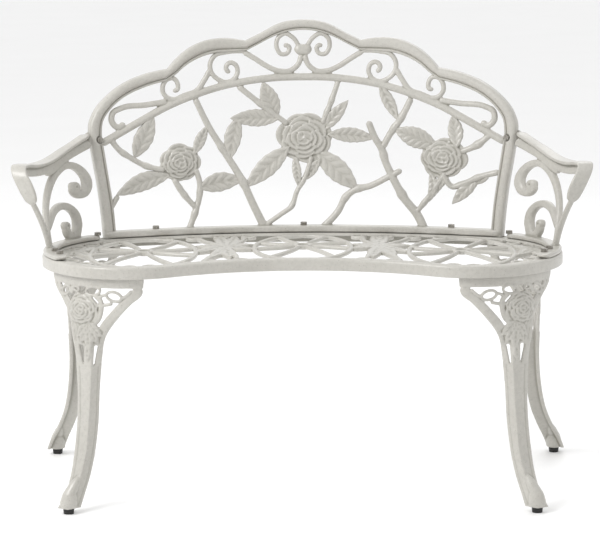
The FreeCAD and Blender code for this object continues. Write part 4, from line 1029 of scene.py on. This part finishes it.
def finish_piece(piece, node):
    """Shades and paints a casting that stands for one of the frame's nodes, fixes it to the bench's
    body and hides that node.
    """
    shade(piece, SMOOTH_ANGLE if piece.name in SHARP_EDGED else None)
    note_hollow_shade(piece)
    piece.data.materials.clear()
    piece.data.materials.append(MATERIALS["painted_casting"])
    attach(piece, "bench")
    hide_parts(node)


for piece in (build_rim(), seat_openwork()):
    finish_piece(piece, "seat_panel")
for piece in (backrest_frame(), *backrest_openwork()):
    finish_piece(piece, "backrest")
for piece, node in [*zip(build_arms(), ("arm_right", "arm_left")), *build_legs()]:
    finish_piece(piece, node)

for name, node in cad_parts.items():
    kind = ("black_nylon" if "foot_pad" in name else "zinc_stud" if "stud" in name
            else "zinc_hardware" if any(word in name for word in ("bolt", "washer", "nut", "screw"))
            else "painted_casting")
    node.data.materials.clear()
    node.data.materials.append(MATERIALS[kind])


# ---------------------------------------------------------------- room, light and camera
def plain(name, colour, roughness):
    """A pale, faintly uneven material for the room."""
    shader = Shader(name)
    tone = shader.ramp(shader.noise(2.0), [(0.3, colour), (0.7, tuple(c * 0.985 for c in colour))])
    return shader.set(base_color=tone, roughness=roughness)


bpy.ops.mesh.primitive_plane_add(size=40, location=(0, 6, 0))
floor = bpy.context.object
floor.name = "floor"
floor.data.materials.append(plain("floor", (0.97, 0.97, 0.97), 0.6))

world = bpy.data.worlds.new("studio")
world.use_nodes = True
nodes, links = world.node_tree.nodes, world.node_tree.links
background = nodes["Background"]
background.inputs["Color"].default_value = (1.0, 1.0, 1.0, 1.0)
direction, parts, dimmed = (nodes.new(f"ShaderNode{kind}")
                            for kind in ("TexCoord", "SeparateXYZ", "MapRange"))
for socket, value in (("From Min", -0.6), ("From Max", 0.3), ("To Min", 0.74), ("To Max", 1.04)):
    dimmed.inputs[socket].default_value = value
links.new(direction.outputs["Generated"], parts.inputs["Vector"])
links.new(parts.outputs["Y"], dimmed.inputs["Value"])
links.new(dimmed.outputs["Result"], background.inputs["Strength"])
bpy.context.scene.world = world
bpy.context.scene.view_settings.view_transform = "Standard"


def soft_light(name, place, aim, wide, power):
    data = bpy.data.lights.new(name, "AREA")
    data.shape, data.size, data.energy = "DISK", wide, power
    lamp = link(name, data)
    lamp.location = place
    lamp.rotation_euler = (Vector(aim) - Vector(place)).to_track_quat("-Z", "Y").to_euler()


MIDDLE = (0.0, 0.0, 0.45)
soft_light("key", (-2.6, -1.7, 3.2), MIDDLE, 2.0, 96)
soft_light("fill", (2.8, -1.6, 2.6), MIDDLE, 2.2, 6)
soft_light("rim_light", (0.6, 2.6, 2.6), MIDDLE, 2.0, 12)

camera_data = bpy.data.cameras.new("camera")
camera_data.lens, camera_data.sensor_width = 145.23, 36.0
camera = link("camera", camera_data)
camera.matrix_world = (Matrix.Translation((0.0517, -4.190, 1.051))
                       @ Matrix.Rotation(math.radians(0.776), 4, "Z")
                       @ Matrix.Rotation(math.radians(80.914), 4, "X")
                       @ Matrix.Rotation(math.radians(-0.379), 4, "Z"))
bpy.context.scene.camera = camera
